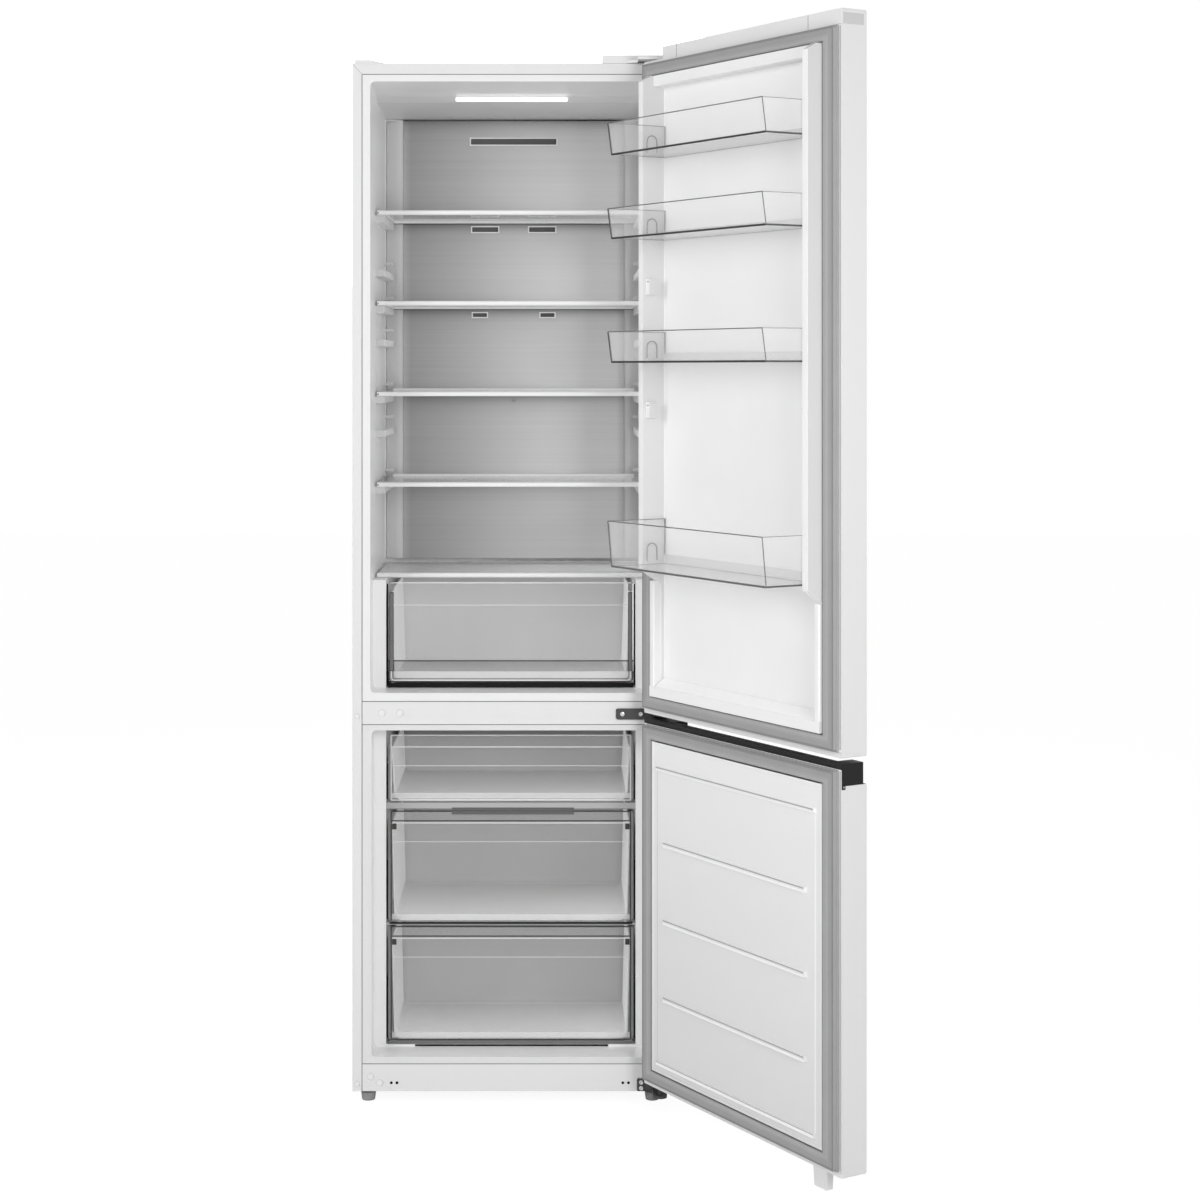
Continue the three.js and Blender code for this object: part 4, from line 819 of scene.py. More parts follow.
# Painted shade on the shelf ribs' fronts, on the liner's front faces and on the rear of its ceiling.
painted_faces(fridge_liner, RIB_SHADE, lambda c, n: n.y < -0.8 and in_band(100, 370, place_of(c)[1])
              and place_of(c)[2] > 1100)
painted_faces(fridge_liner, LINER_FRONT_SHADE, lambda c, n: n.y < -0.8 and place_of(c)[1] < 6)
LAMP_REAR = span("lamp_lens")[1][1] + 4
painted_faces(fridge_liner, LINER_CEILING_SHADE, lambda c, n: n.z < -0.5 and place_of(c)[1] > LAMP_REAR
              and place_of(c)[2] > 1890)
freezer_liner = dressed("freezer_liner", LINER, 1.6, 3)
# Painted shade on the freezer liner's front faces.
painted_faces(freezer_liner, FREEZER_FRONT_SHADE, lambda c, n: n.y < -0.8 and place_of(c)[1] < 6)
for node, material, width in (
    ("rear_panel", ZINC, 0.6),
    ("metal_back_panel", BRUSHED_PANEL, 0.4),
    ("air_duct", DUCT_FOAM, 0.5),
    ("lamp_lens", LENS, 0.8),
    ("freezer_rear_cover", COVER_PLASTIC, 0.8),
    ("corner_cap", CAP, 0.7),
    ("top_hinge_cover", CAP, 0.7),
):
    dressed(node, material, width)


def duct_fillers():
    """White sealing strips between the air duct and the side walls, and over the duct's shoulders."""
    low, high = span("air_duct")
    strips = []
    for inner, outer, foot, head in (
        (high[0] - 0.6, high[0] + 1.4, low[2], high[2]),
        (PANEL_HALF + 0.2, high[0] + 1, high[2] - 0.5, high[2] + 1.8),
    ):
        for x in mirrored(inner, outer):
            strips.append(block("duct_filler", x, (low[1] + 0.1, low[1] + 3), (foot, head),
                                DUCT_FOAM, 0.2, 1))
    fitted(joined("duct_fillers", strips), "air_duct")


duct_fillers()


# ---- shelves

for i in range(1, 5):
    shelf_frame = dressed(f"shelf_frame_{i}", TRIM, 0.8)
    foot, head = heights(f"shelf_frame_{i}")
    # A band of each frame's front is painted in shade: at its foot on the two upper shelves, at its head on
    # the lower two.
    band = (foot - 1, foot + 2.2) if i < 3 else (head - 3.2, head + 1)
    sliced(shelf_frame, "z", *band)
    painted_faces(shelf_frame, TRIM_SHADE, lambda c, n: place_of(c)[1] < 120
                  and in_band(*band, place_of(c)[2]))
    dressed(f"shelf_glass_{i}", GLASS, 0.5, edge=GLASS_EDGE)
dressed("crisper_shelf_frame", TRIM, 0.8)


def shelf_details(node):
    """A raised rear rail with a shadow seam under it, dark side seams and stops at the front corners."""
    low, high = span(node)
    marks = [
        block(node + "_seam", (low[0] + 14, high[0] - 14), (high[1] - 2.2, high[1] - 0.3),
              (low[2] - 1.1, low[2] + 0.4), JOINT, 0.3, 1),
        block(node + "_rail", (low[0] + 12, high[0] - 12), (high[1] - 11, high[1] - 0.4),
              (high[2] - 1, high[2] + 4.6), TRIM, 1.6, 3),
    ]
    half, level = high[0] - 0.2, high[2] - 0.3
    for x in (-half, half):
        marks.append(strand(node + "_side", (x, low[1] + 3, level), (x * 0.985, high[1] - 14, level),
                            0.55, GREY_PLASTIC))
    for x in mirrored(high[0] - 3.5, half):
        marks.append(block(node + "_stop", x, (low[1] - 0.4, low[1] + 3), (high[2] - 6.5, high[2] - 3.5),
                           GREY_PLASTIC, 0.4))
    fitted(joined(node + "_marks", marks), node)


for i in range(1, 5):
    shelf_details(f"shelf_frame_{i}")
dressed("crisper_shelf_glass", COVER_GLASS, 0.5)
for node in ("freezer_partition_upper", "freezer_partition_lower"):
    dressed(node, GLASS, 0.5, edge=GLASS_EDGE)

# ---- drawers

WALL = 2.4
DRAWER_FLANGE = 4.4
TRAY_INSET = 6.6  # from a front's end to its tray
TRAY_DRAFT = 5.0
TRAY_RADIUS = 16.0


def front_plate(name, low, high, radius, stripes, sides, flange=0):
    """A clear drawer front.

    Stripes are (bottom, top, material), sides are (width, bottom, top, material). The sides lie a
    flange's width inside the plate's ends.
    """
    half = high[0]
    y0 = low[1]
    plate = coated(bar(name, (-half, half), (y0, y0 + WALL), (low[2], high[2])), CLEAR)
    edges_rounded(plate, lambda a, b: abs(a.y - b.y) > MM, radius)
    inset(plate, facing(1, -1), 1.2, -0.3)
    inset(plate, facing(1), 1.2, -0.3)
    sliced(plate, "z", *(level for stripe in stripes for level in stripe[:2]))
    width, bottom, top, material = sides
    inner = half - flange - width
    if flange:
        sliced(plate, "x", -half + flange, -inner, inner, half - flange)
    for z0, z1, stripe in stripes:
        painted_faces(plate, stripe, lambda c, n: in_band(z0, z1, place_of(c)[2]))

    def between(center, first, second):
        x, y, z = place_of(center)
        return first < abs(x) < second and in_band(bottom, top, z)

    painted_faces(plate, material, lambda c, n: between(c, inner, half - flange + 0.01))
    if flange:
        painted_faces(plate, EDGE_BAND, lambda c, n: between(c, half - flange, half + 1))
    return smooth(plate, 30)


def tub(name, half, y0, y1, z0, z1, draft, radius, glow, rear_share, rear_material=TUB_REAR_SHADE):
    """A white tray, open above and at the front, narrower at its floor, with a rounded rear."""
    tray = coated(bar(name, (-half, half), (y0, y1), (z0, z1)), TUB)
    floor_z = at(0, 0, z0).z + MM
    for corner in tray.data.vertices:
        if corner.co.z < floor_z:
            x, y, z = place_of(corner.co)
            corner.co.x = at(x - math.copysign(draft, x), 0, 0).x
            if y > (y0 + y1) / 2:
                corner.co.y = at(0, y - draft, 0).y
    rear_y = at(0, (y0 + y1) / 2, 0).y

    def at_rear_or_floor(a, b):
        low_ends, rear_ends = (a.z < floor_z) + (b.z < floor_z), (a.y > rear_y) + (b.y > rear_y)
        return rear_ends == 2 and low_ends > 0 or low_ends == 2 and rear_ends > 0

    edges_rounded(tray, at_rear_or_floor, radius, 5)
    shelled(tray, lambda c, n: n.z > 0.9 or n.y < -0.9, WALL)
    middle = at(0, 0, 0).x
    # The side walls and the floor glow as painted light, the floor is painted darker to its rear, and the
    # rear wall takes a shaded copy of the plastic as painted shade.
    painted_faces(tray, TUB_LEFT, lambda c, n: n.x > 0.7 and c.x < middle)
    painted_faces(tray, TUB_RIGHT, lambda c, n: n.x < -0.7 and c.x > middle)
    painted_faces(tray, painted_glow_plastic(name + "_floor", 0.96, glow, y0, y1, rear_share), lambda c, n: n.z > 0.45)
    painted_faces(tray, rear_material, lambda c, n: n.y < -0.3 and c.y > rear_y and n.z < 0.8)
    return smooth(tray)


def drawer(node, y_rear, lines, dark_sides, glow, rear_share):
    """A clear front with painted shade and painted highlights for its edges and ridges, before a white tray,
    its catches, and painted shadow in the gaps beside it.
    """
    low, high = span(node)
    bottom, top = low[2], high[2]
    # The front's outline is painted shade, or on the upper drawer a painted highlight, and a painted light
    # band lies near its foot.
    edge = CLEAR_EDGE_SHADE if dark_sides else CLEAR_HIGHLIGHT
    foot = 3 if node == "freezer_drawer_middle" else 5
    stripes = [(top - 2.3, top + 1, edge), (bottom + foot, bottom + foot + 10, CLEAR_FOOT)]
    if foot > 3:
        stripes.append((bottom - 1, bottom + 2.2, edge))
    stripes += [(top - down - tall, top - down, material) for down, tall, material in lines]
    plate = front_plate(node + "_front", low, high, 6, stripes, (2.6, bottom, top, edge), DRAWER_FLANGE)
    tray = tub(node + "_tray", high[0] - TRAY_INSET, low[1] + WALL + 0.2, y_rear, bottom + 1, top - 26,
               TRAY_DRAFT, TRAY_RADIUS, glow, rear_share)
    fitted(plate, node, (node,))
    fitted(tray, node, (node,))
    if dark_sides:
        drawer_clips(node, high[0], low[1], top)
    gap_shadow(node, high[0], low[1], bottom, top)


def drawer_clips(node, half, y0, top):
    """Small dark catches behind the front's upper corners."""
    clips = []
    for x in mirrored(half - 16, half - 7.5):
        clip = coated(bar(node + "_clip", x, (y0 - 0.3, y0 + 2), (top - 36, top - 24.5)), DARK_PLASTIC)
        clips.append(rounded(inset(clip, facing(1, -1), 2.4, -0.4), 0.8))
    fitted(joined(node + "_clips", clips), node)


def gap_shadow(node, half, y0, bottom, top, share=0.55):
    """Painted shadow: dark strips in the running gap on both sides of a drawer, up to a share of its height.
    """
    strips = []
    for x in mirrored(half + 0.5, half + 3.4):
        strips.append(block(node + "_gap", x, (y0 + 6, y0 + 8), (bottom + 2, bottom + share * (top - bottom)),
                            SHADOW_PLASTIC, 0.5))
    fitted(joined(node + "_gaps", strips), "freezer_liner")


# Painted shade and painted highlights for the ridges across the drawer fronts: depth under the top, height
# and material.
FREEZER_LINES = (
    (18.4, 2.2, CLEAR_EDGE_SHADE),
    (22.5, 2.2, CLEAR_HIGHLIGHT),
    (59.5, 1.0, CLEAR_HIGHLIGHT),
)
drawer("freezer_drawer_upper", 388, FREEZER_LINES[1:], False, 0.06, 0.3)
drawer("freezer_drawer_middle", 388, FREEZER_LINES, True, 0.16, 0.5)
drawer("freezer_drawer_lower", 326, FREEZER_LINES, True, 0.17, 0.6)


def cradle(name, half, y, z_low, z_high, corner, radius, material):
    """Beads down one side, round a corner, along the foot, and up the other side."""
    points = [(-half, y, z_high), (-half, y, z_low + corner)]
    for side in (-1, 1):
        turns = range(1, 4) if side < 0 else range(3, -1, -1)
        for turn in turns:
            angle = math.radians(30 * turn)
            points.append((side * (half - corner + corner * math.cos(angle)), y,
                           z_low + corner - corner * math.sin(angle)))
    points.append((half, y, z_high))
    return [strand(name, a, b, radius, material) for a, b in zip(points, points[1:])]


def crisper():
    """The vegetable drawer: dark side rails, a foot made lighter as painted light, and a painted highlight on
    a thin ridge.
    """
    node = "crisper_drawer"
    low, high = span(node)
    bottom, top = low[2], high[2]
    half, y0 = high[0], low[1]
    # Painted highlights, painted shade along the foot and rails, and a painted light band at the foot.
    stripes = (
        (top - 2.2, top + 1, CLEAR_HIGHLIGHT),
        (bottom - 1, bottom + 2.8, CLEAR_EDGE_SHADE),
        (bottom + 2.8, bottom + 5.2, CLEAR_HIGHLIGHT),
        (bottom + 5.2, bottom + 21.5, CLEAR_FOOT),
        (top - 45.0, top - 43.8, CLEAR_HIGHLIGHT),
        (bottom + 21.5, bottom + 40.8, CLEAR_BAND),
        (bottom + 40.8, bottom + 43.0, CLEAR_EDGE_SHADE),
    )
    plate = front_plate(node + "_front", low, high, 9, stripes, (2.6, bottom, bottom + 25, CLEAR_EDGE_SHADE))
    tray = tub(node + "_tray", half - 6, y0 + WALL + 0.2, high[1], bottom + 1, top - 16,
               6.0, 14.0, 0.1, 0.8, CRISPER_REAR_SHADE)
    rails = []
    for x in mirrored(half - 10.5, half - 2):
        rail = bar(node + "_rail", x, (y0 - 0.1, y0 + 3.5), (bottom + 22, top - 19))
        rounded(coated(rail, RAIL_GREY_AND_GAP_SHADE, CLEAR_EDGE_SHADE), 1.4, 2, material=1)
        clip = coated(bar(node + "_clip", x, (y0 + 0.2, y0 + 7), (top - 17, top - 4)), EDGE_BAND)
        rounded(inset(clip, facing(1, -1), 2.0, -1.5), 0.8)
        knob = block(node + "_knob", (x[0] - 1, x[1] + 1), (y0 + 4, y0 + 16), (top - 3, top - 0.5),
                     GREY_PLASTIC, 0.6)
        rails += [rail, clip, knob]
    # Dark beads round the foot are painted shade where light bends at the clear edge, with a painted
    # highlight between them.
    for inset_by, rise, radius, material in ((2.0, 1.0, 0.9, BASKET_EDGE), (6.2, 4.4, 1.0, TRIM),
                                             (9.0, 7.4, 0.7, BASKET_LINE)):
        rails += cradle(node + "_line", half - inset_by, y0 - 0.2, bottom + rise, bottom + 22,
                        9 - inset_by / 2, radius, material)
    fitted(plate, node, (node,))
    fitted(tray, node, (node,))
    fitted(joined(node + "_rails", rails), node, (node,))
    gap_shadow(node, half, y0, bottom - 8, top, 0.98)
    # A dark strip as painted shadow under the crisper's front.
    cavity_shadow = block(node + "_cavity", (-half, half), (y0 - 0.6, y0 + 0.2), (bottom - 9.6, bottom - 0.5),
                   SHADOW_PLASTIC, 0.8)
    fitted(cavity_shadow, "fridge_liner")


crisper()


PARTITION_GRIP = (-114, 122)


def partition_trims():
    """Trims of the glass partitions with a painted shadow at the lower one's foot, the dark grip between the
    upper drawers, and painted shadow and painted shade at the freezer's floor.
    """
    trims = []
    for node, rise in (("freezer_partition_upper", 2.0), ("freezer_partition_lower", 0.4)):
        low, high = span(node)
        trims.append(block(node + "_trim", (low[0], high[0]), (low[1] - 1.2, low[1] - 0.1),
                           (low[2] + rise, high[2] - 4), TRIM_GREY, 0.5))
    # A dark strip along the foot of the lower partition's front: painted shadow.
    trims.append(block(node + "_seam", (-235, 235), (low[1] - 1.7, low[1] - 0.3),
                       (low[2] + 1.8, low[2] + 5.4), SHADOW_PLASTIC, 0.5))
    low, high = span("freezer_partition_upper")
    grip = bar("partition_grip", PARTITION_GRIP, (low[1] - 2.0, low[1] - 0.4), (low[2] - 0.6, low[2] + 4))
    trims.append(rounded(inset(coated(grip, GRIP_GREY), facing(1, -1), 0.8, -0.5), 0.4))
    fitted(joined("partition_trims", trims), "freezer_partition_upper")
    low, high = span("freezer_drawer_middle")
    lip = bar("middle_drawer_grip", PARTITION_GRIP, (low[1] - 0.5, low[1] + 0.4),
              (high[2] - 7, high[2] - 0.3))
    inset(coated(lip, GRIP_GREY), facing(1, -1), 0.9, -0.3)
    fitted(rounded(lip, 0.3), "freezer_drawer_middle")
    low, high = span("freezer_drawer_lower")
    # A dark strip and a grey one at the freezer's floor: painted shadow under the lower drawer and painted
    # shade in its gap.
    floor = [
        block("freezer_floor_shadow", (-185, 188), (low[1] - 3.8, low[1] - 2.9), (low[2] - 11, low[2] - 7.4),
              SHADOW_PLASTIC, 0.3),
        block("freezer_floor_gap_shade", (-236, 236), (low[1] - 0.6, low[1] + 0.2), (low[2] - 7.2, low[2] - 0.5),
              RAIL_GREY_AND_GAP_SHADE, 0.3),
    ]
    fitted(joined("freezer_floor_shadow", floor), "freezer_liner")


partition_trims()

# ---- metal panel, joints and caps

FRAME_LIP = 2.5  # past the opening, all round


def outlet_frames():
    """Light frames in the metal panel with their throats painted dark and their walls grey as painted shade,
    and the small sensor window.
    """
    low, high = span("metal_back_panel")
    face = low[1]
    frames = []
    rows = ((0, 177, 12, high[2] - 43), (59, 54, 10, 1684), (70, 29, 8, 1507))
    for offset, width, height, z in rows:
        across, up = width / 2 + FRAME_LIP, height / 2 + FRAME_LIP
        for x in (-offset, offset) if offset else (0,):
            outlet = bar("outlet_frame", (x - across, x + across), (face - 1.4, face + 6), (z - up, z + up))

            def in_middle(center, normal):
                place = place_of(center)
                return normal.y < -0.9 and abs(place[0] - x) < 1 and abs(place[2] - z) < 1

            def around_throat(center, normal):
                place = place_of(center)
                return (abs(normal.y) < 0.5 and abs(place[0] - x) < width / 2
                        and in_band(face - 1.3, face + 3, place[1]))

            inset(coated(outlet, FRAME_WHITE), facing(1, -1), 2.6)
            pushed(outlet, in_middle, (0, 5, 0))
            # Painted shade: the throat's back is dark, and the walls round it are grey.
            painted_faces(outlet, THROAT_SHADE, lambda c, n: place_of(c)[1] > face + 2.5 and n.y < -0.9)
            painted_faces(outlet, GREY_PLASTIC, around_throat)
            frames.append(rounded(outlet, 0.4))
    sensor = coated(bar("sensor_window", (-4, 4), (face - 1, face + 1), (1327.5, 1332.5)), GREY_PLASTIC)
    frames.append(rounded(inset(sensor, facing(1, -1), 1.0, -0.5), 0.3))
    fitted(joined("outlet_frames", frames), "metal_back_panel")


outlet_frames()


def joint_lines():
    """The shadowed joints between the steel front frame, the crossbar, the base rail and the liners."""
    side = HALF - FLANGE_SIDE + 0.15
    top = TOP - FLANGE_TOP - 0.15
    reach = 0.55
    runs = [((x - reach, x + reach), (23, top)) for x in (-side, side)]
    for z in (*heights("crossbar"), heights("base_rail")[1], top):
        runs.append(((-side, side), (z - reach, z + reach)))
    lines = [block("joint_line", x, (-0.12, 0.4), z, JOINT, 0.1, 1) for x, z in runs]
    fitted(joined("joint_lines", lines), "cabinet_shell")


joint_lines()


def caps_and_holes():
    """Screw caps with painted shade round their rims, and screw holes as dark discs of painted shade, on the
    front frame.
    """
    caps = []
    places = ((-243.6, 741.5, 6.4), (-209.4, 741.5, 6.4), (-291, 735, 4.6), (-265.3, 50.1, 6.0),
              (-247.8, 38.1, 6.0), (-290.8, 36.2, 4.6))
    for x, z, radius in places:
        cap = coated(rod("screw_cap", (x, -0.6, z), radius, 1.4, sides=28), CAP)
        rounded(inset(cap, facing(1, -1), radius * 0.35, 0.35), 0.5, 2, 30)
        # Painted shade round the cap's rim.
        caps.append(painted_faces(cap, RIB_SHADE_LINE, lambda c, n: n.y > -0.55))
    for x in (-225.9, -215.1, 214.2, 225.0):
        # A dark disc of painted shade for each hole.
        hole = coated(rod("screw_hole", (x, -0.1, 38.1), 2.7, 0.5, sides=16), SHADOW_PLASTIC)
        caps.append(rounded(inset(hole, facing(1, -1), 0.4, -0.2), 0.1, 1))
    fitted(joined("screw_caps", caps), "cabinet_shell")


caps_and_holes()


def screw(name, x, y, z, radius):
    """A pan head with a round recess, seen from the front."""
    head = coated(rod(name, (x, y - 0.9, z), radius, 1.8), SCREW_STEEL)
    inset(head, facing(1, -1), radius * 0.45, 0.5)
    inset(head, lambda c, n: n.y < -0.9 and (c - at(x, place_of(c)[1], z)).length < radius * 0.3 * MM,
          radius * 0.2, -0.9)
    return rounded(head, 0.3)


# ---- doors

for node in ("fridge_door_skin", "freezer_door_skin"):
    dressed(node, DOOR_PAINT, 0.25, angle=60.0)
door_liner = dressed("fridge_door_liner", DOOR_LINER, 3.0, 3)
FREEWARD = SWING.to_3x3() @ Vector((-1, 0, 0))
SHUT = SWING.inverted()
# Painted shade on the ridges' sides that face the door's free end.
painted_faces(door_liner, DOOR_SIDE_SHADE, lambda c, n: n.dot(FREEWARD) > 0.7 and place_of(SHUT @ c)[1] > -8)
# Darker towards the door's foot: painted shade.
FREEZER_DOOR_LINER = by_height("freezer_door_plastic", 0.74, 0.88, 90, 700)
dressed("freezer_door_liner", FREEZER_DOOR_LINER, 1.2, 3)
for node in ("fridge_door_gasket", "freezer_door_gasket"):
    dressed(node, RUBBER, 1.0)
for node in ("fridge_door_top_cap", "fridge_door_bottom_cap", "freezer_door_bottom_cap", "freezer_door_lug"):
    dressed(node, CAP, 0.7)
dressed("freezer_door_grip_strip", BLACK_PLASTIC, 0.7)

BASKET_LEVELS = ((1788, 1847), (1634, 1690), (1407, 1464), (1032, 1117))
BASKET_HALF = 239
BASKET_REAR, BASKET_FRONT = -19, 108
BASKET_RAKE = 8
PEG_FRONT, PEG_REAR = 21, 1
PEG_TOP = 33  # over a basket's floor
SPARE_PEGS = (1533, 1304)
REAR_RIM = 18  # of a basket, over its floor


def basket(index, z0, z1):
    """A clear tray with a low rear, dark beads along its edges as painted shade where light bends in the
    clear plastic, and an arch over each peg.
    """
    node = f"door_basket_{index}"
    tray = bar(node + "_tray", (-BASKET_HALF, BASKET_HALF), (BASKET_REAR, BASKET_FRONT), (z0, z1))
    # Its rim faces take a dark clear plastic: painted shade at the cut edges.
    coated(tray, BASKET_CLEAR, BASKET_RIM)
    front_y = at(0, BASKET_FRONT - 1, 0).y
    floor_z = at(0, 0, z0 + 1).z
    for corner in tray.data.vertices:
        if corner.co.y > front_y and corner.co.z < floor_z:
            corner.co.y -= BASKET_RAKE * MM
    sliced(tray, "z", z0 + REAR_RIM)
    shelled(tray, lambda c, n: n.z > 0.9 or (n.y < -0.9 and place_of(c)[2] > z0 + REAR_RIM), 2.0, rim=1)
    smooth(tray, 40)
    half, rear = BASKET_HALF - 1, BASKET_REAR + 1
    low, high = BASKET_FRONT - BASKET_RAKE - 1, BASKET_FRONT - 0.8
    floor, rim = z0 + 1, z1 - 0.8
    # Dark beads along the edges: painted shade where light bends in the clear plastic.
    front_edge = BASKET_EDGE if index < 4 else BASKET_LINE
    runs = [
        ((-half, low, floor), (half, low, floor), 1.9, front_edge),
        ((-half + 1, low, floor), (-half + 1, rear, floor), 1.6, BASKET_EDGE),
        ((half, low, floor), (half, high, rim), 1.5, front_edge),
    ]
    runs += [(a, b, radius, BASKET_LINE) for a, b, radius in (
        ((half, low, floor), (half, rear, floor), 0.7),
        ((-half, low, floor), (-half, high, rim), 0.9),
        ((-half, high, rim), (half, high, rim), 0.95),
        ((-half, high, rim), (-half, rear, rim), 0.45),
        ((half, high, rim), (half, rear, rim), 0.6),
        ((half, rear, z0 + REAR_RIM), (half, rear, rim), 0.8),
        ((-half, rear, z0 + REAR_RIM), (-half, rear, rim), 0.5),
        ((-half, rear, floor), (half, rear, floor), 0.5),
    )]
    middle = (PEG_FRONT + PEG_REAR) / 2
    reach = 11
    spring = z0 + PEG_TOP - 4
    for x in (0.6 - half, half - 0.6):
        arch = [(x, middle - reach, z0 + 8), (x, middle - reach, spring)]
        arch += [(x, middle - reach * math.cos(math.radians(30 * i)),
                  spring + reach * math.sin(math.radians(30 * i))) for i in range(1, 7)]
        arch.append((x, middle + reach, z0 + 8))
        runs += [(a, b, 1.1, BASKET_HOOK) for a, b in zip(arch, arch[1:])]
    beads = [strand(node + "_bead", *run) for run in runs]
    fitted(tray, node, (node,), swung=True)
    fitted(joined(node + "_beads", beads), node, (node,), swung=True)


for i, (z0, z1) in enumerate(BASKET_LEVELS, 1):
    basket(i, z0, z1)


def pegs():
    """The white pegs on the door's upright ridges, each with a thin band near its top."""
    made = []
    for z in (*(z0 + 3 for z0, z1 in BASKET_LEVELS), *SPARE_PEGS):
        for x in mirrored(232 if z in SPARE_PEGS else 239.4, 242.7):
            peg = coated(bar("peg", x, (PEG_REAR, PEG_FRONT), (z, z + 30)), TRIM)
            sliced(peg, "z", z + 23, z + 24.5)
            painted_faces(peg, GREY_PLASTIC, lambda c, n: in_band(z + 23, z + 24.5, place_of(c)[2]))
            # The sides that face the door's free end get painted shade.
            made.append(painted_faces(rounded(peg, 1.0), PEG_SIDE_SHADE, facing(0, -1)))
    fitted(joined("pegs", made), "fridge_door_liner", swung=True)


pegs()


FIELD_HALF = 257.5
SEAL_HALF = 291
SEAL_FACE = -1


def ring(name, node, outer, inner, y, z_out, z_in, material):
    """Four strips round a door's inner face, between an outer and an inner rectangle."""
    edge = min(0.8, (y[1] - y[0]) * 0.3)
    runs = [(x, z_out) for x in mirrored(inner, outer)]
    runs += [((-inner, inner), z) for z in ((z_out[0], z_in[0]), (z_in[1], z_out[1]))]
    fitted(joined(name, [block(name, x, y, z, material, edge) for x, z in runs]), node, swung=True)


def seal_lines(door):
    """Painted shade and a painted highlight along a door's seal: a dark line in its groove, a shaded band and
    a gleam.
    """
    node = door + "_gasket"
    low, high = heights(node)
    y = (SEAL_FACE - 0.4, SEAL_FACE + 0.2)
    # Painted shade in the groove and on a band, and a painted highlight.
    for name, outer, inner, material in (
        ("groove", 289, 285, SEAL_GROOVE_SHADE),
        ("shade", 284.6, 276.5, SEAL_SHADE),
        ("gleam", 272.5, 269, SEAL_GLEAM),
    ):
        out, into = SEAL_HALF - outer, SEAL_HALF - inner
        ring(f"{door}_seal_{name}", node, outer, inner, y, (low + out, high - out), (low + into, high - into),
             material)


seal_lines("fridge_door")
seal_lines("freezer_door")


def door_borders():
    """The raised white borders inside the seals, with painted shade on their sides that face the free end,
    and the slope over the fridge door's sill, bright as a painted highlight.
    """
    low, high = heights("fridge_door_liner")
    strips = []
    for x in mirrored(243, FIELD_HALF - 0.2):
        strip = block("border", x, (DOOR_IN - 1, 3.6), (low + 44, 1001), DOOR_LINER, 2.5, 3)
        # Painted shade on the side facing the free end.
        strips.append(painted_faces(strip, BORDER_SIDE_SHADE, facing(0, -1)))
    slope = bar("sill_slope", (-241, 241), (-19.5, 3.2), (low + 47, low + 62))
    for corner in slope.data.vertices:
        x, y, z = place_of(corner.co)
        if y > 0 and z > low + 50:
            corner.co.y = at(0, -17.5, 0).y
    # The slope takes the gleaming white: painted highlight.
    strips.append(rounded(coated(slope, RIB_GLEAM), 1.5, 3, 20))
    fitted(joined("fridge_door_borders", strips), "fridge_door_liner", swung=True)
    low, high = heights("freezer_door_liner")
    ring("freezer_door_border", "freezer_door_liner", FIELD_HALF, FIELD_HALF - 6, (-11, -1.4),
         (low + 28, high - 28), (low + 34, high - 34), FREEZER_DOOR_LINER)


door_borders()


FIELD_FACE = -2  # of the freezer door's ribbed field


def freezer_door_relief():
    """Painted shade on the upper and painted highlights on the lower edges of the freezer door's ribs, and of
    the field they lie in.
    """
    edges = []
    for z in (515, 372, 229):
        edges.append(((-213.5, 213.5), 5, (z + 2.2, z + 4.4), RIB_SHADE_LINE))
        edges.append(((-213.5, 213.5), 5, (z - 4.6, z - 0.8), RIB_GLEAM))
    edges += [
        ((-238.5, 238.5), 4, (654, 656.4), RIB_SHADE_LINE),
        ((-238.5, 238.5), 4, (649.4, 651), RIB_GLEAM),
        ((-238.5, 238.5), 4, (108.2, 109.4), RIB_SHADE_LINE),
        ((-238.5, 238.5), 4, (102.4, 107), RIB_GLEAM),
        ((238, 239.6), 0, (106, 652), RIB_SHADE),
        ((-240, -238), 0, (106, 652), RIB_GLEAM),
    ]
    lines = []
    for x, proud, z, material in edges:
        face = FIELD_FACE + proud
        lines.append(block("rib_edge", x, (face - 0.4, face + 0.35), z, material, 0.3))
    fitted(joined("freezer_door_relief", lines), "freezer_door_liner", swung=True)


freezer_door_relief()


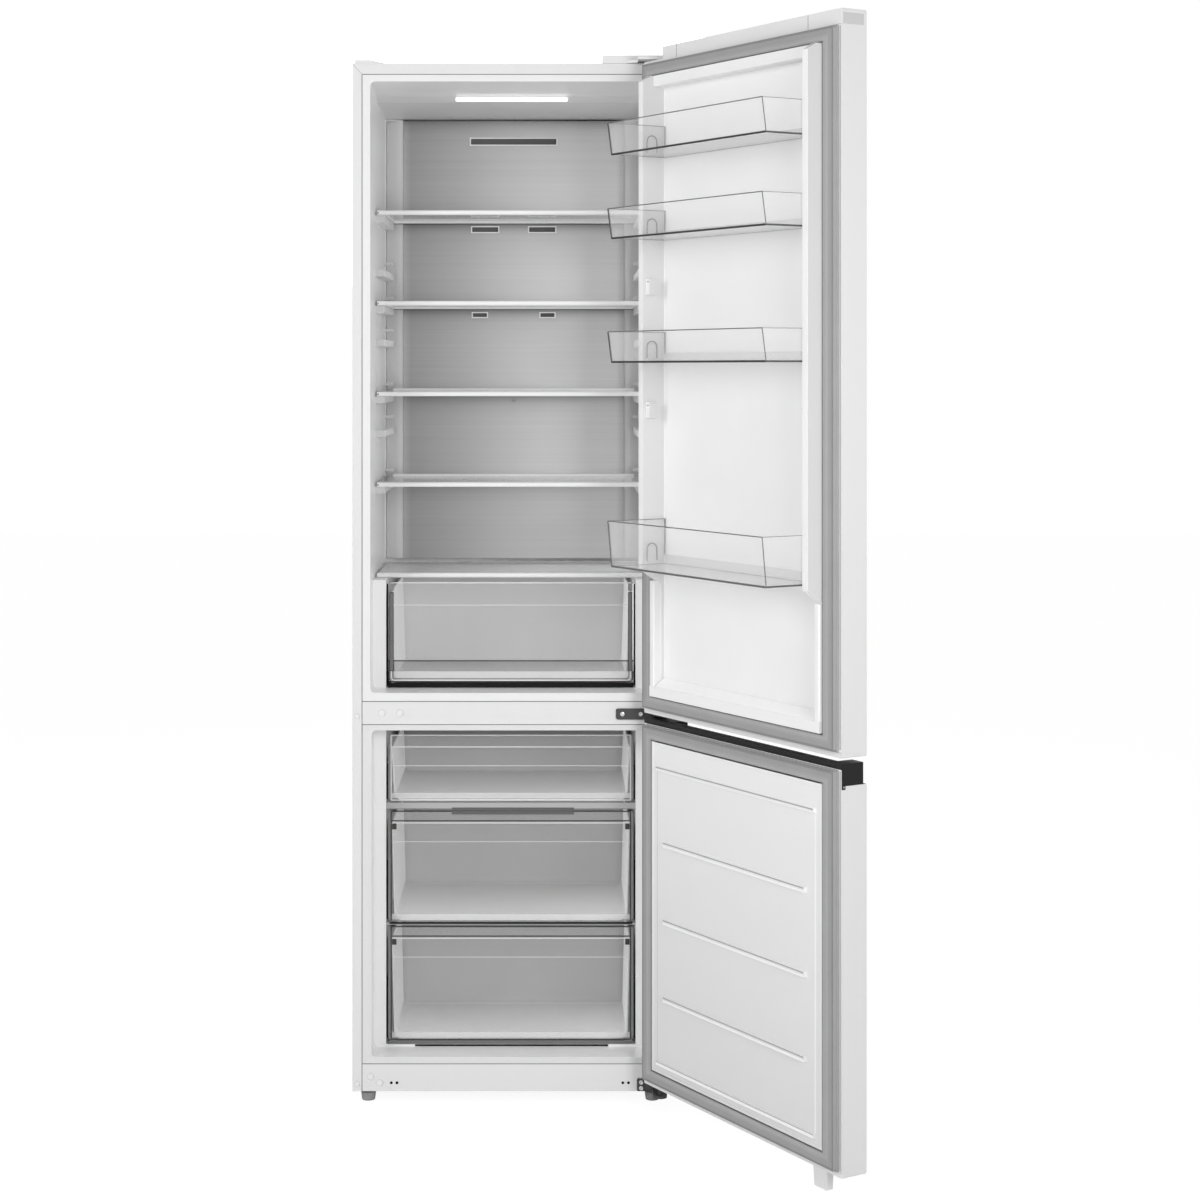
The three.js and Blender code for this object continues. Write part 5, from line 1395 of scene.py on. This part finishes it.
def door_end_details():
    """The grip strip's dark end with its screw tab, and the end of the upper door's cap."""
    end = -DOOR_HALF
    screw_head = rod("grip_screw", (end - 0.6, -15.4, 700.2), 1.6, 0.8, axis="x")
    pieces = [
        block("grip_end", (end - 0.35, end + 1), (-52, DOOR_IN + 0.2), (702.4, 738.6), BLACK_PLASTIC, 0.3),
        block("grip_tab", (end - 0.5, end + 1), (-19, DOOR_IN + 0.2), (696, 703), BLACK_PLASTIC, 0.4),
        rounded(coated(screw_head, SCREW_STEEL), 0.2),
    ]
    fitted(joined("grip_end", pieces), "freezer_door_grip_strip", swung=True)
    patch = block("cap_end", (end - 0.3, end + 1), (-58, -14), (1969, 1988), CAP_SHADE, 0.3)
    fitted(patch, "fridge_door_top_cap", swung=True)


door_end_details()


def door_edge_gaps():
    """Painted shade: a grey strip in the groove between a seal and the skin, along each door's free side."""
    for door, z0, z1 in (("fridge_door", 762, 1966), ("freezer_door", 62, 726)):
        strip = block(door + "_groove", (-296.6, -292.2), (DOOR_IN - 0.4, DOOR_IN + 0.25), (z0, z1),
                      EDGE_GAP_SHADE, 0.2, 1)
        fitted(strip, door + "_liner", swung=True)


door_edge_gaps()


def door_cap_joints():
    """Joints of the upper door cap's end pieces."""
    lines = []
    for x in (190.7, -206.5):
        lines.append(block("cap_joint", (x - 0.4, x + 0.4), (DOOR_IN - 0.3, DOOR_IN + 0.15),
                           (TOP - 6, TOP + 18.6), JOINT, 0.1, 1))
    fitted(joined("door_cap_joints", lines), "fridge_door_top_cap", swung=True)


door_cap_joints()

# ---- hinges, feet and machinery

for node in ("middle_hinge", "bottom_hinge"):
    dressed(node, HINGE_STEEL, 0.5)
heads = [screw("hinge_screw", x, -3.3, z, 4.2)
         for x, z in ((213.2, 739.5), (248.4, 739.5), (249, 40), (249, 29))]
fitted(joined("hinge_screws", heads), "middle_hinge")
for node in ("front_foot_left", "front_foot_right", "rear_roller_left", "rear_roller_right"):
    dressed(node, FEET_PLASTIC, 0.8)
dressed("machine_bay_cover", DARK_PLASTIC, 0.4)
for node, material in (
    ("top_hinge", ZINC),
    ("base_pan", ZINC),
    ("compressor", ENAMEL),
    ("condenser_coil", TUBE_LACQUER),
    ("evaporator", ALUMINIUM),
    ("fan_motor", DARK_PLASTIC),
    ("fan_wheel", TRIM),
    ("cabinet_foam", FOAM),
    ("fridge_door_foam", FOAM),
):
    plain(node, material)
# The foam's upper edge shows under the grip strip.
painted_faces(dressed("freezer_door_foam", FOAM, 0.25), BLACK_PLASTIC, facing(2))
